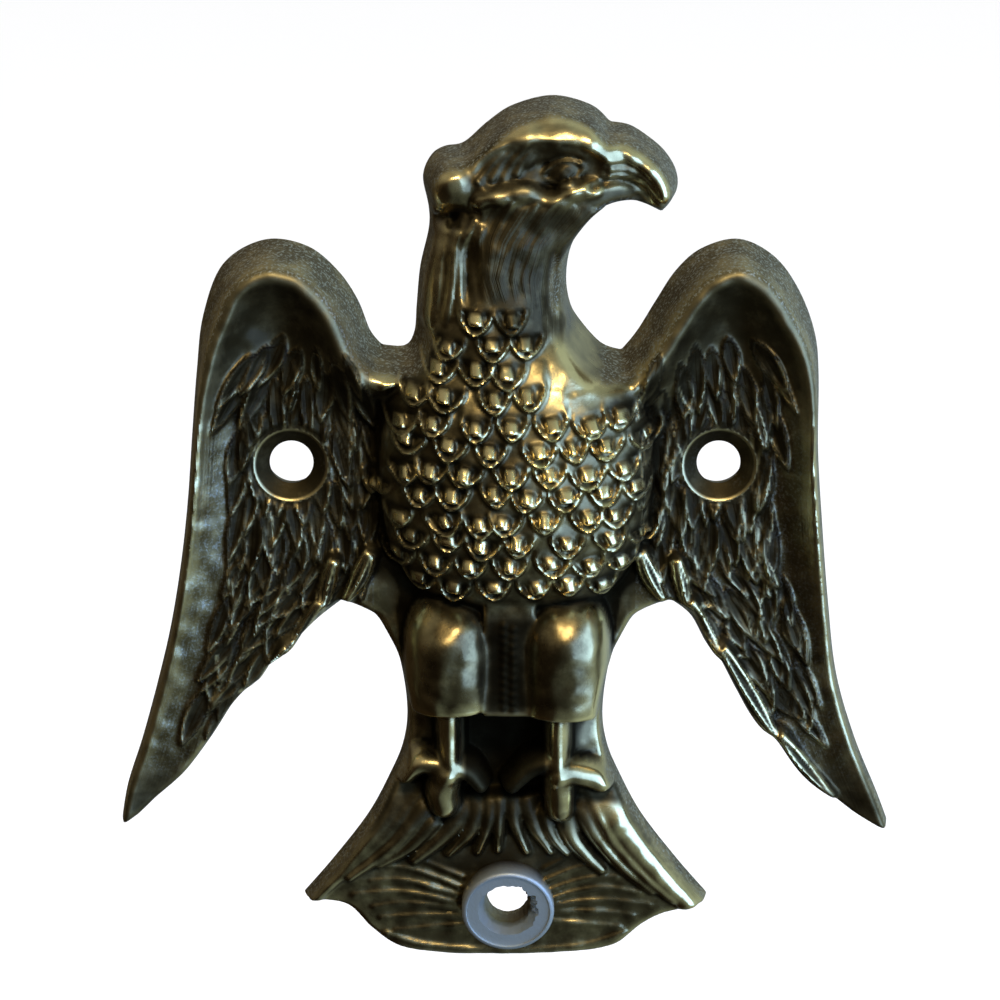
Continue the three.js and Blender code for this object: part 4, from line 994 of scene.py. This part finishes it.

# The finish
# The brass was darkened with a brown patina and rubbed back, so it is bright on what stands proud
# and nearly black in what lies deep. Painted shade darkens the deepest places and what lies under
# the thighs, the feet, the brow and the jaw, and painted sheen and highlights brighten the right
# of the chest and shoulder, the tail's right and the filed edge. The sand-cast wall keeps a satin
# skin, with painted glints on its grains.

NEAR_R, WIDE_R, DEEP_R = 0.5, 1.6, 4.0  # how far round it each place is compared
FILED_LINE = (0.55, 0.32)  # place and width of the painted highlight line on the filed edge
FILED_SHEEN = 0.85
HAIR_RUB = 0.3  # share of the rubbing that reaches the hair
HAIR_GRIME = 0.7
JAW_SHADE = 0.8
TEMPLE_SHADE = 0.65
ROOT_SHADE = 0.85  # painted shade at the roots of the tail's feathers under the feet, and patina with painted shade in the gaps between them
GAP_GRIME_AND_SHADE = 0.8
BAND_GRIME = 0.75  # at the brown ends of the wings' bare bands
BAND_SATIN = 0.3

near = relief - blur(relief, NEAR_R)
wide = relief - blur(relief, WIDE_R)
deep = relief - blur(np.maximum(relief, 0), DEEP_R)
wall_share = smoothstep(rounded - inset * wall_slope, -0.2, 0.6) * inside

# Rubbed: crests and the carving's own edges. Painted sheen and highlights: a line on the filed
# edge, the right of the chest and shoulder, and the feathers at the tail's right.
rub_and_sheen_map = smoothstep(near, 0.06, 0.35) * 0.6 + smoothstep(wide, 0.25, 1.3) * 0.45
rub_and_sheen_map *= mix(0.5, 1.0, smoothstep(relief, 4, 13)) * (1 - 0.6 * wall_share)
shoulder_skin = broad * (1 - smoothstep(past_wall, 0.15, 0.5)) * inside
shoulder_skin *= np.maximum(smoothstep(Z, 30, 33), smoothstep(SIDE, 14, 17))
rub_and_sheen_map *= 1 - 0.85 * shoulder_skin * smoothstep(Z, 28, 31)
# The filed edge is rubbed, and a painted highlight line lies along it where the lamp's gleam
# falls.
on_filed = bell(past_wall, *FILED_LINE) * (past_wall > 0) * (past_wall < 1)
rub_and_sheen_map = np.maximum(rub_and_sheen_map, FILED_SHEEN * broad * on_filed)
rub_and_sheen_map = np.where(carved > UNCARVED, np.maximum(0.5 * rub_and_sheen_map, bright), rub_and_sheen_map)
# Painted sheen: the right of the chest and the hollow right of the neck are brightened and kept
# clear of dark, where the window's reflection falls.
chest_sheen = smoothstep(relief, 11, 14.5) * (Z < 18) * (Z > -16) * smoothstep(X, -4, 6)
shoulder_sheen = hollow((8.6, 15.4), (4.4, 7.5))
rub_and_sheen_map = rub_and_sheen_map + 0.15 * chest_sheen + 0.45 * shoulder_sheen
# Painted highlight on the feathers at the tail's right, and none of the dark on the outermost one.
outer_feather = limb(RIGHT_TAIL[0][0], (2.6, 1.8), 0, (1, 1), 0.5) * smoothstep(-Z, 44, 47)
rub_and_sheen_map = np.maximum(rub_and_sheen_map, 0.6 * smoothstep(tail, 1.0, 1.6) * (X > 8) * (Z < -44))
rub_and_sheen_map = np.maximum(rub_and_sheen_map, 0.8 * smoothstep(outer_feather, 0.3, 0.9))
rub_and_sheen_map *= 1 - (1 - HAIR_RUB) * hair

# Grime and painted shade: dark patina in the hollows and round the carving, and painted shade in
# the deepest places, on the belly between the thighs and in the place between the legs.
grime_and_shade_map = smoothstep(-near, 0.06, 0.4) * 0.5 + smoothstep(-wide, 0.1, 0.9) * 0.7
# Painted shade darkens the deepest places broadly, as occlusion would.
grime_and_shade_map += smoothstep(-deep, 0.3, 3.5) * 0.75
on_belly = (from_belly < BELLY_HALF) * smoothstep(-Z, 17.0, 19.0) * (Z > BELLY_END)
on_belly = blur(on_belly * (thighs < body), 0.4)
grime_and_shade_map = np.maximum.reduce([grime_and_shade_map, void, between, on_belly, dirt_and_shade_in_carving * (front > legs)])
grime_and_shade_map *= (1 - 0.5 * chest_sheen) * (1 - shoulder_sheen)
# Dark patina lies in the hair too. Painted shade lies on the temple under the brow, under the jaw
# and at the tail's roots under the feet, and patina with painted shade lies in the gaps among the
# tail's feathers.
jaw = hollow((13.6, 33.6), (5.2, 3.2))
temple = hollow((2.6, 39.4), (9.4, 3.9))
roots = smoothstep(-Z, 43, 45) * smoothstep(Z, -52, -47) * (legs < body)
fan = smoothstep(hollow((0, -47), (21, 10)), 0, 0.25) * (Z < -43) * (legs < body)
gaps = fan * smoothstep(-tail, -1.0, -0.3)
grime_and_shade_map = np.maximum.reduce([
    grime_and_shade_map, HAIR_GRIME * hair, JAW_SHADE * smoothstep(jaw, 0, 0.4),
    TEMPLE_SHADE * smoothstep(temple, 0, 0.3) * (brow < body), ROOT_SHADE * roots,
    GAP_GRIME_AND_SHADE * gaps,
])
grime_and_shade_map *= (1 - wall_share) * (1 - smoothstep(outer_feather, 0.2, 0.8))
# The bare bands of the wings kept the skin of the sand too, but are brown at both ends.
brown_end = np.maximum(smoothstep(Z, 2, 9), smoothstep(-Z, 38, 44))
grime_and_shade_map = np.maximum(grime_and_shade_map, BAND_GRIME * bare_band * brown_end * (1 - wall_share))
satin_band = BAND_SATIN * bare_band * (1 - brown_end)
satin_map = np.maximum.reduce([wall_share, shoulder_skin, satin_band])
satin_map *= 1 - smoothstep(shoulder_sheen, 0, 0.5)

places = np.empty(len(mesh.vertices) * 3)
mesh.vertices.foreach_get("co", places)
vert_x, vert_y, vert_z = places.reshape(-1, 3).T / MM
column = np.clip((vert_x - xs[0]) / STEP, 0, len(xs) - 1.001)
row = np.clip((vert_z - zs[0]) / STEP, 0, len(zs) - 1.001)


def sample(field):
    """A grid's values at the vertices."""
    c, r = column.astype(int), row.astype(int)
    u, v = column - c, row - r
    lower = mix(field[r, c], field[r, c + 1], u)
    return mix(lower, mix(field[r + 1, c], field[r + 1, c + 1], u), v)


on_boss = np.hypot(vert_x - BOSS_X, vert_z - BOSS_Z) < BOSS_R + 0.15
on_boss &= -vert_y > sample(relief) + 0.2
to_screw = np.hypot(np.abs(vert_x) - WING_SCREW_X, vert_z)
in_hole = to_screw < COUNTERSINK_R + 0.1
on_ring = to_screw > COUNTERSINK_R - 0.2  # the countersink's bright edge
behind = -vert_y < np.maximum(sample(recess), 0) + 0.05
behind &= (sample(inset) > 0.3) | (-vert_y < 0.01)
plain = behind | on_boss
finish_values = {
    "rub_and_sheen": np.where(plain, 0.1, np.where(in_hole, 0.7 * on_ring, sample(rub_and_sheen_map))),
    "grime_and_shade": np.where(plain, 0.15, np.where(in_hole, 0.7 - 0.6 * on_ring, sample(grime_and_shade_map))),
    "satin": np.where(behind, 1.0, np.where(on_boss, 0.5, sample(satin_map))),
    "bare": np.where(on_boss, 1.0, 0.0),
    "combed": np.where(plain | in_hole, 0.0, sample(combed)),
}
for name, values in finish_values.items():
    layer = mesh.attributes.new(name, "FLOAT", "POINT")
    layer.data.foreach_set("value", np.clip(values, 0, 1))
layer = mesh.attributes.new("comb", "FLOAT", "POINT")  # this one is in millimetres
layer.data.foreach_set("value", sample(comb))

PATINA = "7c6f4c"
PATINA_DARK = "483c24"
GOLD = "ebd89c"  # rubbed brass, and the painted sheen and highlights
# Near black, for the patina deep in the hollows and for painted shade.
GRIME_AND_SHADE = "0d0a05"
GRAIN_GLINT = "c4c8ba"  # painted glints on the grains of the sand's skin
BARE = "b4bab8"  # the boss, filed and not darkened
CLOUDS = 320.0  # clouds of patina a few millimetres across
GRAINS = 2600.0  # grains of the moulding sand, about a third of a millimetre
GRAIN_BUMP = 0.00009
CUTS = 2.4  # fine cuts along the plumage, about two to the millimetre
CUT_BUMP = 0.00012
ROUGHNESS = 0.24
WAX = 0.25
WAX_ROUGHNESS = 0.2
NOISE, BUMP, RANGE = "ShaderNodeTexNoise", "ShaderNodeBump", "ShaderNodeMapRange"


def to_linear(code):
    """A colour from its sRGB hex code, as linear red, green, blue and alpha."""
    parts = [int(code[i : i + 2], 16) / 255 for i in (0, 2, 4)]
    return (*(p / 12.92 if p <= 0.04045 else ((p + 0.055) / 1.055) ** 2.4 for p in parts), 1.0)


def add_node(tree, kind, settings=None, **links):
    """Add a node, give it its settings, and link or set its inputs by name or number (i0)."""
    node = tree.nodes.new(kind)
    for name, value in (settings or {}).items():
        setattr(node, name, value)
    for name, value in links.items():
        numbered = name[0] == "i" and name[1:].isdigit()
        socket = node.inputs[int(name[1:]) if numbered else name.replace("_", " ")]
        if isinstance(value, bpy.types.NodeSocket):
            tree.links.new(value, socket)
        else:
            socket.default_value = value
    return node


def calc(tree, operation, *values, clamp=False):
    """The result of a math node."""
    settings = {"operation": operation, "use_clamp": clamp}
    inputs = {f"i{i}": value for i, value in enumerate(values)}
    return add_node(tree, "ShaderNodeMath", settings, **inputs).outputs[0]


def blend(tree, share, a, b):
    """A mix of two colours, each a hex code or the output of a node."""
    a, b = (to_linear(colour) if isinstance(colour, str) else colour for colour in (a, b))
    return add_node(tree, "ShaderNodeMix", {"data_type": "RGBA"}, i0=share, i6=a, i7=b).outputs[2]


# Antiqued brass, cast in sand: it gleams like gold where it was rubbed and where sheen and
# highlights are painted, is brown and cloudy between, and dull black in its hollows and where
# shade is painted.
brass = bpy.data.materials.new("antiqued_cast_brass")
brass.use_nodes = True
tree = brass.node_tree
tree.nodes.clear()
place = add_node(tree, "ShaderNodeTexCoord").outputs["Object"]
rub_and_sheen, grime_and_shade, satin, bare, cut_place, cut_share = (
    add_node(tree, "ShaderNodeAttribute", {"attribute_name": name}).outputs["Fac"]
    for name in ("rub_and_sheen", "grime_and_shade", "satin", "bare", "comb", "combed")
)
clouds, grains = (
    add_node(tree, NOISE, Vector=place, Scale=scale, Detail=detail, Roughness=0.6).outputs["Fac"]
    for scale, detail in ((CLOUDS, 4.0), (GRAINS, 2.0))
)

# The rubbed places and the painted sheen have cloudy edges, and the painted glints of the grains
# show only on the sand's skin.
cloudy = calc(tree, "MULTIPLY_ADD", clouds, 0.9, -0.45)
worn_and_sheen = calc(tree, "ADD", rub_and_sheen, cloudy, clamp=True)
thick = calc(tree, "MULTIPLY", clouds, 1.2, clamp=True)
deep_grime_and_shade = calc(tree, "MULTIPLY", grime_and_shade, 0.95)
grain_share = add_node(tree, RANGE, i0=grains, i1=0.5, i2=0.68, i3=0.0, i4=0.8).outputs[0]
grain_glint = calc(tree, "MULTIPLY", grain_share, satin)
colour = blend(tree, thick, PATINA_DARK, PATINA)
for share, over in ((worn_and_sheen, GOLD), (deep_grime_and_shade, GRIME_AND_SHADE), (grain_glint, GRAIN_GLINT), (bare, BARE)):
    colour = blend(tree, share, colour, over)

# Rubbing smooths the metal, and the painted sheen with it; the sand's skin, the grime and painted
# shade, and the filed boss are rougher.
rough = ROUGHNESS
for share, amount in ((clouds, 0.1), (satin, 0.18), (rub_and_sheen, -0.08), (grime_and_shade, 0.35), (bare, 0.22)):
    rough = calc(tree, "MULTIPLY_ADD", share, amount, rough)
grain_depth = calc(tree, "MULTIPLY_ADD", satin, 0.8, 0.2)
grain_height = calc(tree, "MULTIPLY", grains, grain_depth)
bumps = add_node(tree, BUMP, Strength=0.7, Distance=GRAIN_BUMP, Height=grain_height).outputs[0]
cuts = add_node(
    tree, NOISE, {"noise_dimensions": "1D"}, W=cut_place, Scale=CUTS, Detail=2.0, Roughness=0.6
).outputs["Fac"]
cuts = calc(tree, "MULTIPLY", calc(tree, "SUBTRACT", cuts, 0.5), cut_share)
bumps = add_node(tree, BUMP, Strength=1.0, Distance=CUT_BUMP, Height=cuts, Normal=bumps).outputs[0]
# A thin wax shows where neither grime nor painted shade lies.
wax = calc(tree, "MULTIPLY_ADD", grime_and_shade, -WAX, WAX)
surface = add_node(
    tree, "ShaderNodeBsdfPrincipled", Base_Color=colour, Roughness=rough, Normal=bumps,
    Metallic=1.0, Coat_Weight=wax, Coat_Roughness=WAX_ROUGHNESS,
)
add_node(tree, "ShaderNodeOutputMaterial", Surface=surface.outputs[0])
mesh.materials.clear()
mesh.materials.append(brass)

# The studio
# A pale floor well below, a cool window-like light from the right, and a smaller warm one above
# the front. The room beyond is dark to the metal, so that it has contrast.

FLOOR_DROP = 0.25
FLOOR_HALF = 12.0
PAPER = "fafafa"
CAMERA_DISTANCE = 0.420
CAMERA_ELEVATION = math.radians(15)
AIM = (-0.00065, 0.0, -0.006)
FOCAL_PX = 3234  # focal length in pixels of the 1000 pixel wide picture
PICTURE_PX = 1000
SENSOR = 36.0
ROOM_BELOW, ROOM_MIDDLE, ROOM_ABOVE = "20180e", "342a1c", "8a877d"
ROOM_SIDE = "b0c8d0"  # towards the window

camera_data = bpy.data.cameras.new("camera")
camera_data.sensor_width = SENSOR
camera_data.lens = FOCAL_PX * SENSOR / PICTURE_PX
camera_data.clip_start = 0.01
camera = put("camera", camera_data)
camera.location = (
    AIM[0],
    AIM[1] - CAMERA_DISTANCE * math.cos(CAMERA_ELEVATION),
    AIM[2] + CAMERA_DISTANCE * math.sin(CAMERA_ELEVATION),
)
camera.rotation_euler = (math.pi / 2 - CAMERA_ELEVATION, 0, 0)
bpy.context.scene.camera = camera


def soft_light(name, azimuth, elevation, distance, size, watts, colour):
    """A soft box that faces the plaque. Azimuth 0 is in front and 90 at the right."""
    data = bpy.data.lights.new(name, "AREA")
    data.shape = "RECTANGLE"
    data.size, data.size_y = size
    data.energy = watts
    data.color = to_linear(colour)[:3]
    light = put(name, data)
    a, e = math.radians(azimuth), math.radians(elevation)
    back = Vector((math.sin(a) * math.cos(e), -math.cos(a) * math.cos(e), math.sin(e)))
    light.location = back * distance
    light.rotation_euler = back.to_track_quat("Z", "Y").to_euler()
    light.visible_camera = False


soft_light("window", 54, 4, 1.4, (1.7, 1.5), 38, "88b4ff")
soft_light("front_lamp", 6, 44, 1.3, (0.42, 0.34), 10, "ffe8bc")

# The room as the metal sees it: brown below, grey above, cooler towards the window. The floor
# and the camera see it plain white.
world = bpy.data.worlds.new("white_room")
bpy.context.scene.world = world
world.use_nodes = True
room = world.node_tree
room.nodes.clear()
toward = add_node(room, "ShaderNodeTexCoord").outputs["Generated"]
axes = add_node(room, "ShaderNodeSeparateXYZ", Vector=toward).outputs
upward = add_node(room, RANGE, i0=axes["Z"], i1=-1.0, i2=1.0).outputs[0]
walls = add_node(room, "ShaderNodeValToRGB", i0=upward)
stops = walls.color_ramp.elements
stops[0].position, stops[0].color = 0.3, to_linear(ROOM_BELOW)
stops[1].position, stops[1].color = 0.85, to_linear(ROOM_ABOVE)
stops.new(0.5).color = to_linear(ROOM_MIDDLE)
sideways = add_node(room, RANGE, i0=axes["X"], i1=-0.3, i2=0.9).outputs[0]
tinted = blend(room, sideways, walls.outputs[0], ROOM_SIDE)
seen = add_node(room, "ShaderNodeBackground", Color=tinted, Strength=1.0)
white = add_node(room, "ShaderNodeBackground", Color=(1, 1, 1, 1), Strength=1.05)
glossy = add_node(room, "ShaderNodeLightPath").outputs["Is Glossy Ray"]
both = add_node(room, "ShaderNodeMixShader", i0=glossy, i1=white.outputs[0], i2=seen.outputs[0])
add_node(room, "ShaderNodeOutputWorld", Surface=both.outputs[0])

bm = bmesh.new()
bmesh.ops.create_grid(bm, x_segments=1, y_segments=1, size=FLOOR_HALF)
bmesh.ops.translate(bm, verts=bm.verts[:], vec=(0, 0, -FLOOR_DROP))
floor = put("floor", to_mesh(bm, "floor"))
# Matt pale paper, which takes a shadow and gives no gloss.
paper = bpy.data.materials.new("pale_matt_floor")
paper.use_nodes = True
matt = paper.node_tree.nodes["Principled BSDF"].inputs
matt["Base Color"].default_value = to_linear(PAPER)
matt["Roughness"].default_value = 0.9
floor.data.materials.append(paper)
floor.visible_glossy = False
bpy.context.scene.view_settings.view_transform = "Standard"
